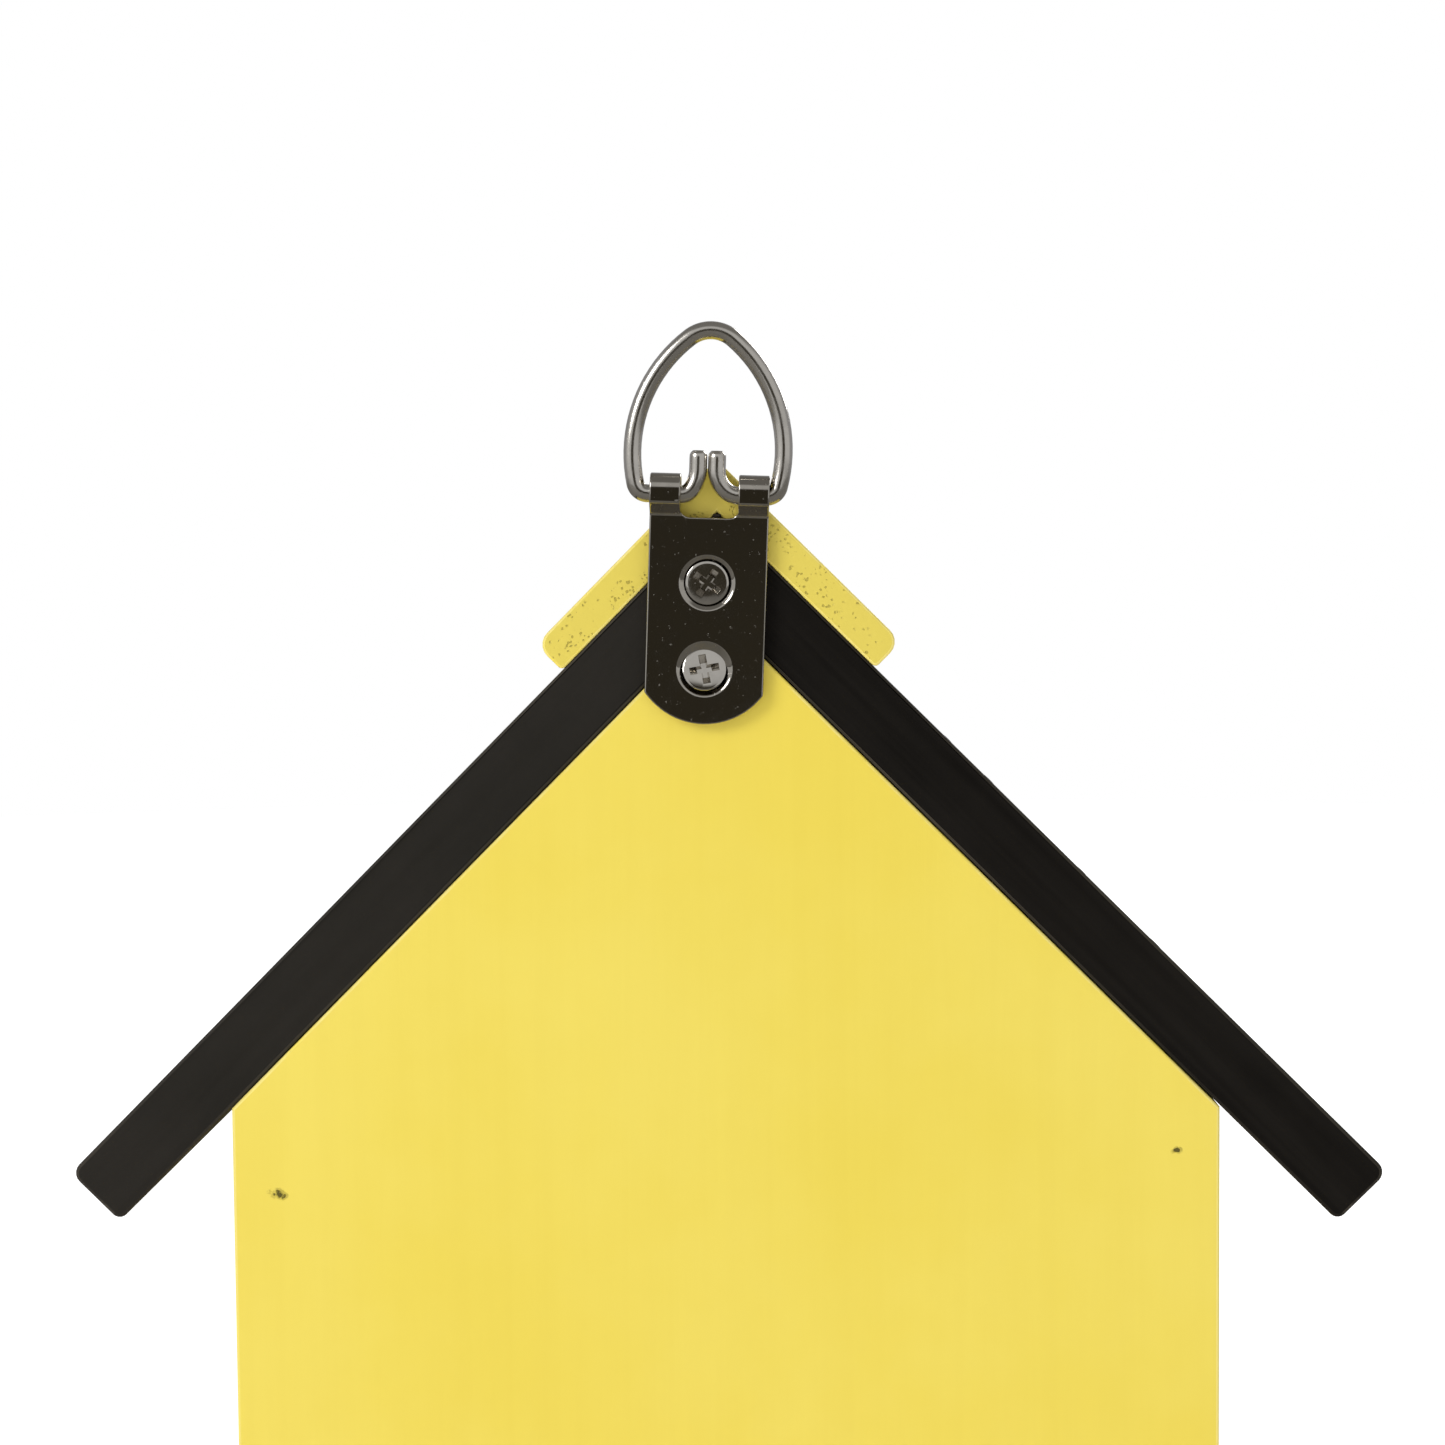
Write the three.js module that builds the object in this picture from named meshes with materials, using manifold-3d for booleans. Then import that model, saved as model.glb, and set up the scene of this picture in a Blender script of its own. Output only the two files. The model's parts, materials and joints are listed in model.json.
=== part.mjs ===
// A hanging insect trap in the shape of a small wooden house. Moths enter through the round
// front opening or the side holes, drawn by a pheromone lure that hangs under the ridge, and
// stick to a card on a tray that pulls out at the front. A folding D-ring on the back hangs it.
//
// Units are millimetres and +Z is up. The front faces -Y and the back faces +Y. The origin is
// the middle of the underside of the floor board.

import * as THREE from 'three';
import { mergeVertices } from 'three/addons/utils/BufferGeometryUtils.js';
import Module from 'manifold-3d';

const wasm = await Module();
wasm.setup();

// ---- Driving dimensions ---------------------------------------------------------------------

const board = 9.5;            // thickness of every board of the house
const bodyWidth = 135;
const bodyDepth = 95;
const wallHeight = 95;        // floor to where the roof meets the outside of a wall
const roofSlope = 127.5;      // length of a roof board down its outer face
const roofOverhang = 20;      // how far the roof reaches past the front panel
const glueGap = 0.15;         // each side of a sloping glued joint

const capLeg = 35;
const capThickness = 5;

const entryRadius = 32;
const entryHeight = 85;
const ventRadius = 7;
const ventHeight = 70;
const ventPitch = 21;

const frontPanelFoot = 24;    // the tray front closes the space below
const trayClearance = 0.3;
const trayPly = 3;

const strapWidth = 16;
const sheet = 0.8;            // strap steel, folded double
const wireRadius = 1.2;       // D-ring wire
const boreClearance = 0.15;
const hangerLean = THREE.MathUtils.degToRad(2.3);

// ---- Places worked out from them ------------------------------------------------------------

const halfWidth = bodyWidth / 2;
const rear = bodyDepth / 2;
const front = -rear;
const roofFront = front - roofOverhang;
const innerHalf = halfWidth - board;
const apexInner = wallHeight + halfWidth;            // a 45 degree pitch
const apexOuter = apexInner + board * Math.SQRT2;
const capApex = apexOuter + (capThickness + glueGap) * Math.SQRT2;

// ---- Materials ------------------------------------------------------------------------------

const yellowPaint = paint('yellow paint', 0xf2de68, 0.55);
const blackPaint = paint('black paint', 0x2b2823, 0.7);
const bareWood = paint('bare plywood', 0xc9a878, 0.75);
const cardStock = paint('sticky card', 0xf3efe0, 0.35);
const rubber = paint('grey rubber', 0x9a4a3a, 0.8);
const nickel = metal('nickel plate', 0xb9b4aa, 0.22);
const darkNickel = metal('dark nickel plate', 0x4a4740, 0.18);
const steel = metal('brad steel', 0x8a877f, 0.4);

function paint(name, colour, roughness) {
  return new THREE.MeshStandardMaterial({ name, color: colour, roughness, metalness: 0 });
}

function metal(name, colour, roughness) {
  return new THREE.MeshStandardMaterial({ name, color: colour, roughness, metalness: 1 });
}

// ---- Solid helpers --------------------------------------------------------------------------

function toSolid(geometry) {
  const bare = geometry.clone();
  bare.deleteAttribute('normal');
  bare.deleteAttribute('uv');
  const merged = mergeVertices(bare, 1e-4);
  return new wasm.Manifold(new wasm.Mesh({
    numProp: 3,
    vertProperties: new Float32Array(merged.attributes.position.array),
    triVerts: new Uint32Array(merged.index.array),
  }));
}

function toGeometry(solid) {
  const mesh = solid.getMesh();
  const geometry = new THREE.BufferGeometry();
  geometry.setAttribute('position', new THREE.BufferAttribute(mesh.vertProperties, 3));
  geometry.setIndex(new THREE.BufferAttribute(mesh.triVerts, 1));
  geometry.computeVertexNormals();
  return geometry;
}

function cut(geometry, tools) {
  let solid = toSolid(geometry);
  for (const tool of tools) {
    solid = solid.subtract(toSolid(tool));
  }
  return toGeometry(solid);
}

function join(geometries) {
  let solid = toSolid(geometries[0]);
  for (const geometry of geometries.slice(1)) {
    solid = solid.add(toSolid(geometry));
  }
  return toGeometry(solid);
}

function box([x0, x1], [y0, y1], [z0, z1]) {
  const geometry = new THREE.BoxGeometry(x1 - x0, y1 - y0, z1 - z0);
  return geometry.translate((x0 + x1) / 2, (y0 + y1) / 2, (z0 + z1) / 2);
}

// A cylinder from one point along a direction.
function rod(start, direction, length, radius, sides) {
  const geometry = new THREE.CylinderGeometry(radius, radius, length, sides);
  geometry.translate(0, length / 2, 0);
  const up = new THREE.Vector3(0, 1, 0);
  const turn = new THREE.Quaternion().setFromUnitVectors(up, direction);
  return geometry.applyQuaternion(turn).translate(start.x, start.y, start.z);
}

// A shape drawn in X and Z, pushed through from one Y to another.
function boardFrom(shape, y0, y1, curveSegments = 8) {
  const geometry = new THREE.ExtrudeGeometry(shape, {
    depth: y1 - y0, bevelEnabled: false, curveSegments,
  });
  return geometry.rotateX(Math.PI / 2).translate(0, y1, 0);
}

// A closed outline with each corner rounded: corners are [x, z, radius].
function roundedOutline(corners) {
  const shape = new THREE.Shape();
  corners.forEach(([x, z, radius], i) => {
    const here = new THREE.Vector2(x, z);
    const before = new THREE.Vector2(...corners.at(i - 1));
    const after = new THREE.Vector2(...corners[(i + 1) % corners.length]);
    const toBefore = before.sub(here).normalize();
    const toAfter = after.sub(here).normalize();
    const reach = radius / Math.tan(toBefore.angleTo(toAfter) / 2);
    const start = here.clone().addScaledVector(toBefore, reach);
    const end = here.clone().addScaledVector(toAfter, reach);
    if (i === 0) {
      shape.moveTo(start.x, start.y);
    } else {
      shape.lineTo(start.x, start.y);
    }
    if (radius > 0) {
      shape.quadraticCurveTo(here.x, here.y, end.x, end.y);
    }
  });
  shape.closePath();
  return shape;
}

// ---- Brads: thin nails set just under the paint -----------------------------------------------

const bradRadius = 0.7;
const bradLength = 20;
const bradSink = 0.5;
const alongY = new THREE.Vector3(0, 1, 0);
const alongX = new THREE.Vector3(1, 0, 0);

function brad(name, x, y, z, direction, length = bradLength) {
  return { name, head: new THREE.Vector3(x, y, z), direction: direction.clone(), length };
}

function bradGeometry({ head, direction, length }) {
  const start = head.clone().addScaledVector(direction, bradSink);
  return rod(start, direction, length, bradRadius, 8);
}

// The hole that a brad sits in, open at the face it was driven through.
function bradHole({ head, direction, length }) {
  const start = head.clone().addScaledVector(direction, -1);
  return rod(start, direction, length + bradSink + 1.5, bradRadius + boreClearance, 8);
}

const backwards = alongY.clone().negate();
const panelBrads = [
  brad('brad_back_left_top', 61.1, rear, 82.9, backwards),
  brad('brad_back_right_top', -61.7, rear, 88.9, backwards),
  brad('brad_back_left_foot', 62.4, rear, 20.5, backwards),
  brad('brad_back_right_foot', -62, rear, 17, backwards),
  brad('brad_front_left_top', 62.5, front, 84, alongY),
  brad('brad_front_right_top', -62.5, front, 84, alongY),
  brad('brad_front_left_foot', 62.5, front, 33, alongY),
  brad('brad_front_right_foot', -62.5, front, 33, alongY),
];

const floorBrads = [1, -1].flatMap((side) => [1, -1].map((end) => brad(
  `brad_floor_${side > 0 ? 'left' : 'right'}_${end > 0 ? 'rear' : 'front'}`,
  side * halfWidth, end * 22, board / 2, alongX.clone().multiplyScalar(-side),
)));

// Two down each slope into the back panel and two into the front panel.
const panelMiddle = rear - board / 2;
const roofBrads = [1, -1].flatMap((side) => [1, -1].flatMap((end) => [52, 84].map((down, i) => {
  const slope = Math.SQRT1_2 * down;
  const inward = new THREE.Vector3(-side, 0, -1).normalize();
  const name = `brad_roof_${side > 0 ? 'left' : 'right'}_${end > 0 ? 'rear' : 'front'}_${i + 1}`;
  return brad(name, side * slope, end * panelMiddle, apexOuter - slope, inward);
})));

const capBrads = [1, -1].flatMap((side) => [30, -50].map((y) => {
  const slope = Math.SQRT1_2 * capLeg * 0.55;
  const inward = new THREE.Vector3(-side, 0, -1).normalize();
  const name = `brad_cap_${side > 0 ? 'left' : 'right'}_${y > 0 ? 'rear' : 'front'}`;
  return brad(name, side * slope, y, capApex - slope, inward, 10);
}));

const allBrads = [...panelBrads, ...floorBrads, ...roofBrads, ...capBrads];
const bradHoles = allBrads.map(bradHole);

// ---- Hanger: strap, D-ring and screws, in a frame of its own ----------------------------------
// The frame's origin is the ring's hinge line on the back face of the house. Y points away from
// the house, Z runs up the strap, and the whole hanger leans a little, as a hand-fitted one does.

const hingeHeight = apexOuter + 2.2;
const hingeOffset = 0.9;
const strapFoot = -30.8;
const strapShoulder = -26.7;
const notchFloor = -3;
const notchWidth = 7.6;
const loopOuter = wireRadius + boreClearance + sheet;
const loopRise = 0.65;        // the loop is taller than the wire, which lies in its foot
const bendFoot = -3.7;        // the layers lie flat on each other below this
const bendTop = -1.4;         // and the outer one stands clear of the wire above this
const strapGap = 0.1;
const screwHeights = { upper: -11.75, lower: -23.35 };
const screwTurns = { upper: 0.62, lower: -0.17 };
const dimpleRadius = 3.7;
const screwShank = 1.45;

const hanger = new THREE.Group();
hanger.position.set(hingeOffset, rear + strapGap, hingeHeight);
hanger.rotation.y = -hangerLean;

function inHangerFrame(geometry) {
  hanger.updateMatrixWorld();
  return geometry.clone().applyMatrix4(hanger.matrixWorld);
}

function strapGeometry() {
  const side = new THREE.Shape();
  side.moveTo(0, strapFoot);
  side.lineTo(2 * sheet, strapFoot);
  side.lineTo(2 * sheet, bendFoot);
  const bendMiddle = (bendFoot + bendTop) / 2;
  side.bezierCurveTo(2 * sheet, bendMiddle, 2 * loopOuter, bendMiddle, 2 * loopOuter, bendTop);
  side.absarc(loopOuter, loopRise, loopOuter, 0, Math.PI, false);
  side.closePath();
  const folded = new THREE.ExtrudeGeometry(side, {
    depth: strapWidth, bevelEnabled: false, curveSegments: 8,
  });
  // The side view is drawn in Y and Z, so the extrusion runs along X.
  folded.applyMatrix4(new THREE.Matrix4().makeBasis(
    new THREE.Vector3(0, 1, 0), new THREE.Vector3(0, 0, 1), new THREE.Vector3(1, 0, 0),
  ));
  folded.translate(-strapWidth / 2, 0, 0);

  const half = strapWidth / 2;
  const drop = strapShoulder - strapFoot;
  const footRadius = (half * half + drop * drop) / (2 * drop);
  const footAngle = Math.asin(half / footRadius);
  const face = new THREE.Shape();
  face.moveTo(half, 6);
  face.lineTo(-half, 6);
  face.lineTo(-half, strapShoulder);
  face.absarc(0, strapFoot + footRadius, footRadius,
    -Math.PI / 2 - footAngle, -Math.PI / 2 + footAngle, false);
  face.closePath();
  const blank = boardFrom(face, -1, 2 * loopOuter + 1, 16);

  const notch = roundedOutline([
    [-notchWidth / 2, notchFloor, 1.3], [notchWidth / 2, notchFloor, 1.3],
    [notchWidth / 2, 8, 0], [-notchWidth / 2, 8, 0],
  ]);
  const wireSlot = new THREE.Shape();
  const bore = wireRadius + boreClearance;
  wireSlot.absarc(loopOuter, 0, bore, Math.PI, 2 * Math.PI, false);
  wireSlot.absarc(loopOuter, loopRise, bore, 0, Math.PI, false);
  const slot = new THREE.ExtrudeGeometry(wireSlot, {
    depth: strapWidth + 2, bevelEnabled: false, curveSegments: 10,
  });
  slot.applyMatrix4(new THREE.Matrix4().makeBasis(
    new THREE.Vector3(0, 1, 0), new THREE.Vector3(0, 0, 1), new THREE.Vector3(1, 0, 0),
  ));
  slot.translate(-strapWidth / 2 - 1, 0, 0);

  const tools = [boardFrom(notch, -1, 2 * loopOuter + 1), slot];
  for (const height of Object.values(screwHeights)) {
    tools.push(dimple().translate(0, 0, height));
  }
  let solid = toSolid(folded).intersect(toSolid(blank));
  for (const tool of tools) {
    solid = solid.subtract(toSolid(tool));
  }
  return toGeometry(solid);
}

// A pressed, cone-sided hole through both layers of the strap.
function dimple() {
  const profile = [
    [0, -0.5], [screwShank + boreClearance, -0.5], [screwShank + boreClearance, 0.15],
    [dimpleRadius, 2 * sheet], [dimpleRadius + 0.3, 2 * sheet + 0.5], [0, 2 * sheet + 0.5],
  ];
  return new THREE.LatheGeometry(profile.map(([r, y]) => new THREE.Vector2(r, y)), 28);
}

function screwGeometry(turn) {
  const headRadius = 2.95;
  const headRim = 1.3;
  const headTop = 1.55;
  const profile = [
    [0, -9], [0.3, -8.6], [screwShank, -6.5], [screwShank, 0.35],
    [headRadius, headRim], [headRadius - 0.35, headTop - 0.05], [0, headTop],
  ];
  const blank = new THREE.LatheGeometry(profile.map(([r, y]) => new THREE.Vector2(r, y)), 24);
  const recess = [3.7, 0.95];
  const cross = [recess, [...recess].reverse()].map(([long, wide]) => box(
    [-long / 2, long / 2], [0.6, 3], [-wide / 2, wide / 2],
  ));
  return cut(blank, cross).rotateY(turn);
}

// The wire runs from one inner end down, out through an ear, round the ring and back.
const ringPath = {
  top: 22.1, apexRadius: 5.2, apexTurn: 0.873, sideTurn: 1.623, cornerRadius: 2,
  endSpread: 1.4, endTop: 5.9, curlWidth: 2.5, curlHeight: 3.4,
};

function ringGeometry() {
  const { top, apexRadius, apexTurn, sideTurn, cornerRadius } = ringPath;
  const { endSpread, endTop, curlWidth, curlHeight } = ringPath;
  // The side arc starts where the top arc ends and stops where the corner arc begins.
  const sideTop = top - apexRadius * (1 - Math.cos(apexTurn));
  const sideFoot = cornerRadius * (1 + Math.cos(sideTurn));
  const sideRadius = (sideTop - sideFoot) / (Math.cos(apexTurn) - Math.cos(sideTurn));
  const sideCentre = new THREE.Vector2(
    (apexRadius - sideRadius) * Math.sin(apexTurn),
    top - apexRadius + (apexRadius - sideRadius) * Math.cos(apexTurn),
  );
  const cornerX = sideCentre.x + (sideRadius - cornerRadius) * Math.sin(sideTurn);

  const half = new THREE.Path();
  half.moveTo(endSpread, endTop);
  half.lineTo(endSpread, curlHeight);
  half.absellipse(endSpread + curlWidth, curlHeight, curlWidth, curlHeight,
    Math.PI, 1.5 * Math.PI, false);
  half.lineTo(cornerX, 0);
  half.absarc(cornerX, cornerRadius, cornerRadius,
    -Math.PI / 2, Math.PI / 2 - sideTurn, false);
  half.absarc(sideCentre.x, sideCentre.y, sideRadius,
    Math.PI / 2 - sideTurn, Math.PI / 2 - apexTurn, false);
  half.absarc(0, top - apexRadius, apexRadius, Math.PI / 2 - apexTurn, Math.PI / 2, false);

  const right = half.getSpacedPoints(38);
  const left = right.slice(0, -1).reverse().map((p) => new THREE.Vector2(-p.x, p.y));
  const points = [...right, ...left].map((p) => new THREE.Vector3(p.x, loopOuter, p.y));
  const section = new THREE.Shape().absarc(0, 0, wireRadius, 0, 2 * Math.PI, false);
  return new THREE.ExtrudeGeometry(section, {
    steps: 76, curveSegments: 6, extrudePath: new THREE.CatmullRomCurve3(points),
  });
}

const screwHoles = Object.values(screwHeights).map((height) => inHangerFrame(
  rod(new THREE.Vector3(0, 1, height), backwards, 11.5, screwShank + boreClearance, 12),
));

// ---- House ------------------------------------------------------------------------------------

function gable(foot) {
  const eaves = wallHeight - glueGap * Math.SQRT2;
  const apex = apexInner - glueGap * Math.SQRT2;
  return new THREE.Shape([
    [-halfWidth, foot], [halfWidth, foot], [halfWidth, eaves], [0, apex], [-halfWidth, eaves],
  ].map(([x, z]) => new THREE.Vector2(x, z)));
}

function backPanel() {
  return cut(boardFrom(gable(0), rear - board, rear), [...bradHoles, ...screwHoles]);
}

function frontPanel() {
  const outline = gable(frontPanelFoot);
  const entry = new THREE.Path().absarc(0, entryHeight, entryRadius, 0, 2 * Math.PI, true);
  outline.holes.push(entry);
  return cut(boardFrom(outline, front, front + board, 24), bradHoles);
}

function sideWall(side) {
  const eaves = wallHeight - glueGap * Math.SQRT2;
  const outline = new THREE.Shape([
    [halfWidth, 0], [halfWidth, eaves], [innerHalf, eaves + board], [innerHalf, 0],
  ].map(([x, z]) => new THREE.Vector2(side * x, z)));
  const wall = boardFrom(outline, front + board, rear - board);
  const vents = [-1, 0, 1].map((place) => rod(
    new THREE.Vector3(side * (innerHalf - 1), place * ventPitch, ventHeight),
    alongX.clone().multiplyScalar(side), board + 2, ventRadius, 28,
  ));
  return cut(wall, [...vents, ...bradHoles]);
}

function floorBoard() {
  return cut(box([-innerHalf, innerHalf], [front + board, rear - board], [0, board]), bradHoles);
}

function roofBoard(side) {
  const run = roofSlope * Math.SQRT1_2;
  const rise = board * Math.SQRT1_2;
  const outline = roundedOutline([
    [glueGap, apexOuter - glueGap, 0],
    [run, apexOuter - run, 1.6],
    [run - rise, apexOuter - run - rise, 1.2],
    [glueGap, apexInner - glueGap, 0],
  ].map(([x, z, radius]) => [side * x, z, radius]));
  const eyeHole = rod(new THREE.Vector3(0, 0, apexInner - 2), new THREE.Vector3(0, 0, 1),
    eyeShankLength + 2.5, eyeShank + boreClearance, 12);
  return cut(boardFrom(outline, roofFront, rear, 4), [...bradHoles, ...screwHoles, eyeHole]);
}

function ridgeCap() {
  const leg = capLeg * Math.SQRT1_2;
  const edge = capThickness * Math.SQRT1_2;
  const outline = roundedOutline([
    [0, capApex, 1.2],
    [leg, capApex - leg, 2],
    [leg - edge, capApex - leg - edge, 0.6],
    [0, capApex - capThickness * Math.SQRT2, 0],
    [-leg + edge, capApex - leg - edge, 0.6],
    [-leg, capApex - leg, 2],
  ]);
  return cut(boardFrom(outline, roofFront, rear, 5), bradHoles);
}

// ---- Tray ---------------------------------------------------------------------------------------

const trayTop = board + trayClearance + trayPly;
const trayBack = front + board - trayClearance;
const trayHalf = innerHalf - 1;
const trayRear = rear - board - 1.5;
const railWidth = 4;
const railHeight = 5;
const cardGap = 0.1;
const cardThickness = 0.8;
const knobHeight = 12;
const knobLength = 14;

function trayBase() {
  return box([-trayHalf, trayHalf], [trayBack, trayRear], [trayTop - trayPly, trayTop]);
}

function trayFront() {
  const panel = box([-halfWidth, halfWidth], [front, trayBack], [1, frontPanelFoot - 1]);
  const profile = [
    [0, 0], [3.1, 0], [1.6, 2.2], [1.6, board + 1], [0, board + 1],
  ].map(([r, y]) => new THREE.Vector2(r, y));
  const screwHole = new THREE.LatheGeometry(profile, 20).rotateX(Math.PI);
  return cut(panel, [screwHole.translate(0, trayBack + 0.01, knobHeight)]);
}

function trayRail(side) {
  const ends = [side * (trayHalf - railWidth), side * trayHalf].sort((a, b) => a - b);
  return box(ends, [trayBack, trayRear], [trayTop, trayTop + railHeight]);
}

function stickyCard() {
  const half = trayHalf - railWidth - 0.5;
  const foot = trayTop + cardGap;
  return box([-half, half], [trayBack + 1, trayRear - 0.5], [foot, foot + cardThickness]);
}

// A turned knob with a waist, and a blind hole for its screw.
function trayKnob() {
  const radius = 8;
  const profile = new THREE.Path();
  profile.moveTo(0, 0);
  profile.lineTo(5.4, 0);
  profile.quadraticCurveTo(3.6, 3.5, 5.2, 6);
  profile.quadraticCurveTo(radius, 7, radius, 9.5);
  profile.quadraticCurveTo(radius, knobLength - 0.8, 4.5, knobLength - 0.3);
  profile.quadraticCurveTo(2, knobLength, 0, knobLength);
  const knob = new THREE.LatheGeometry(profile.getPoints(5), 28);
  const bore = rod(new THREE.Vector3(0, -1, 0), alongY, 8.5, 1.35, 12);
  return cut(knob, [bore]).rotateX(Math.PI).translate(0, front - 0.1, knobHeight);
}

function knobScrew() {
  const profile = [
    [0, 0.3], [2.8, 0.3], [1.2, 2.1], [1.2, board + 5.5], [0, board + 7],
  ].map(([r, y]) => new THREE.Vector2(r, y));
  const slotCut = box([-3, 3], [-1, 0.9], [-0.3, 0.3]);
  const blank = new THREE.LatheGeometry(profile, 16);
  return cut(blank, [slotCut]).rotateX(Math.PI).translate(0, trayBack, knobHeight);
}

// ---- Lure -----------------------------------------------------------------------------------------

const eyeWire = 0.9;
const eyeRadius = 4;
const eyeShank = 1.2;
const eyeShankLength = 11;
const eyeCentre = apexInner - 8;
const linkHeight = eyeCentre - eyeRadius;       // the eye's lowest bar, which the lure swings on
const pinWire = 0.55;
const linkRadius = 2.3;
const pinLength = 52;
const septumLength = 19;
const linkHang = 0.7;                           // the loop hangs from the top of the bar

// A screw eye turned up into the ridge. Its ring faces the front.
function lureEye() {
  const ring = new THREE.TorusGeometry(eyeRadius, eyeWire, 10, 28);
  const shank = new THREE.LatheGeometry([
    [0, 0], [eyeShank, 0], [eyeShank, eyeShankLength + 1], [0, eyeShankLength + 4],
  ].map(([r, y]) => new THREE.Vector2(r, y)), 12);
  shank.translate(0, eyeRadius, 0);
  return join([ring, shank]).rotateX(Math.PI / 2);
}

// A pin with a loop round the eye's bar and a flat head at its foot, where the septum rests.
function lurePin() {
  const loop = new THREE.TorusGeometry(linkRadius, pinWire, 8, 20);
  loop.rotateY(Math.PI / 2).translate(0, 0, -linkHang);
  const down = new THREE.Vector3(0, 0, -1);
  const stemTop = -linkHang - linkRadius;
  const stem = rod(new THREE.Vector3(0, 0, stemTop), down, pinLength + stemTop, pinWire, 8);
  const head = rod(new THREE.Vector3(0, 0, -pinLength), down, 0.8, 1.5, 14);
  return join([loop, stem, head]);
}

// A sleeve stopper with its mouth up, threaded on the pin.
function lureSeptum() {
  const foot = -pinLength + cardGap;
  const profile = [
    [pinWire + 0.25, 0], [2.6, 0], [3, 0.5], [3.4, 9], [4.9, 9.6], [4.9, septumLength - 0.4],
    [4.5, septumLength], [3.1, septumLength], [3.1, 11], [pinWire + 0.25, 10],
    [pinWire + 0.25, 0],
  ].map(([r, y]) => new THREE.Vector2(r, y));
  return new THREE.LatheGeometry(profile, 24).rotateX(Math.PI / 2).translate(0, 0, foot);
}

// ---- Scene graph ------------------------------------------------------------------------------------

const trap = new THREE.Group();
trap.name = 'pheromone_trap_house';

function add(parent, name, geometry, material) {
  const mesh = new THREE.Mesh(geometry, material.clone());
  mesh.name = name;
  parent.add(mesh);
  return mesh;
}

add(trap, 'back_panel', backPanel(), yellowPaint);
add(trap, 'front_panel', frontPanel(), yellowPaint);
add(trap, 'side_wall_left', sideWall(1), yellowPaint);
add(trap, 'side_wall_right', sideWall(-1), yellowPaint);
add(trap, 'floor_board', floorBoard(), yellowPaint);
add(trap, 'roof_board_left', roofBoard(1), blackPaint);
add(trap, 'roof_board_right', roofBoard(-1), blackPaint);
add(trap, 'ridge_cap', ridgeCap(), yellowPaint);
for (const one of allBrads) {
  add(trap, one.name, bradGeometry(one), steel);
}

add(hanger, 'hanger_strap', strapGeometry(), darkNickel);
add(hanger, 'd_ring', ringGeometry(), nickel);
for (const [place, height] of Object.entries(screwHeights)) {
  const screw = add(hanger, `hanger_screw_${place}`, screwGeometry(screwTurns[place]), nickel);
  screw.position.z = height;
}
trap.add(hanger);

const tray = new THREE.Group();
add(tray, 'tray_base', trayBase(), bareWood);
add(tray, 'tray_front', trayFront(), yellowPaint);
add(tray, 'tray_rail_left', trayRail(1), bareWood);
add(tray, 'tray_rail_right', trayRail(-1), bareWood);
add(tray, 'sticky_card', stickyCard(), cardStock);
add(tray, 'tray_knob', trayKnob(), blackPaint);
add(tray, 'tray_knob_screw', knobScrew(), steel);
trap.add(tray);

const eye = add(trap, 'lure_eye', lureEye(), steel);
eye.position.z = eyeCentre;
const lure = new THREE.Group();
lure.position.z = linkHeight;
add(lure, 'lure_pin', lurePin(), steel);
add(lure, 'lure_septum', lureSeptum(), rubber);
trap.add(lure);

export default trap;
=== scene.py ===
# %% [markdown]
# # A house-shaped insect trap
# A small wooden house hangs on an orchard tree. Moths follow the scent of a lure under its ridge
# and stick to a card on a pull-out tray. This lesson dresses the working model: painted boards
# with eased corners, a folded steel hanger, a bent wire ring, and a lure on its pin.

# %% Open the frame
import json
import math

import bmesh
import bpy
from mathutils import Matrix, Vector


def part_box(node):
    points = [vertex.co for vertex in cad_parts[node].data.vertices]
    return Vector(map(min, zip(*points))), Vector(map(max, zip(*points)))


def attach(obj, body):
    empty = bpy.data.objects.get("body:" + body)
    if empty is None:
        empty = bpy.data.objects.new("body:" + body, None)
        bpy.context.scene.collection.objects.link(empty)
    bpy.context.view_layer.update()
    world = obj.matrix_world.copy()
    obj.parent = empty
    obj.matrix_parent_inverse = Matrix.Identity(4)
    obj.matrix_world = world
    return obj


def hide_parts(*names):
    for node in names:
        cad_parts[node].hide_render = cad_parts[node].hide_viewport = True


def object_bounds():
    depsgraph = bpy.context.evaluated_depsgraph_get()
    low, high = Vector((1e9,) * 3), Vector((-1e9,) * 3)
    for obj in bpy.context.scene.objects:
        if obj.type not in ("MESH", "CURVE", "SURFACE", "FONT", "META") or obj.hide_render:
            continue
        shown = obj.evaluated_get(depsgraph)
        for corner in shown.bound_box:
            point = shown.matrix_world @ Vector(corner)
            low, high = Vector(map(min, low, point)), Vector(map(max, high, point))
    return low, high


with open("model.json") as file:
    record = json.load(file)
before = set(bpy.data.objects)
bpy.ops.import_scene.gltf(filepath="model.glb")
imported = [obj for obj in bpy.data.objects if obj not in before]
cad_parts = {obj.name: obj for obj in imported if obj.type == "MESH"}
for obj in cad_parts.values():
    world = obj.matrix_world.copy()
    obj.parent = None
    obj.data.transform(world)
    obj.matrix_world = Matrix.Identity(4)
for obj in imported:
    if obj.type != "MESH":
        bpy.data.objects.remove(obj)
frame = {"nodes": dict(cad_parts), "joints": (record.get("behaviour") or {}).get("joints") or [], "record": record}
cad_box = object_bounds()
MM = 0.001
print("working model", [round((b - a) / MM, 1) for a, b in zip(*cad_box)], "mm")

# %% [markdown]
# ## Small helpers for node trees
# Every finish below is a tree of nodes. A short function that adds a node, sets its options and
# fills its sockets keeps each tree readable: a value is typed in, and a socket is joined.


# %% Node helpers
def add_node(tree, kind, inputs=None, **options):
    node = tree.nodes.new(kind)
    for key, value in options.items():
        setattr(node, key, value)
    for key, value in (inputs or {}).items():
        if isinstance(value, bpy.types.NodeSocket):
            tree.links.new(value, node.inputs[key])
        else:
            node.inputs[key].default_value = value
    return node


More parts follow.
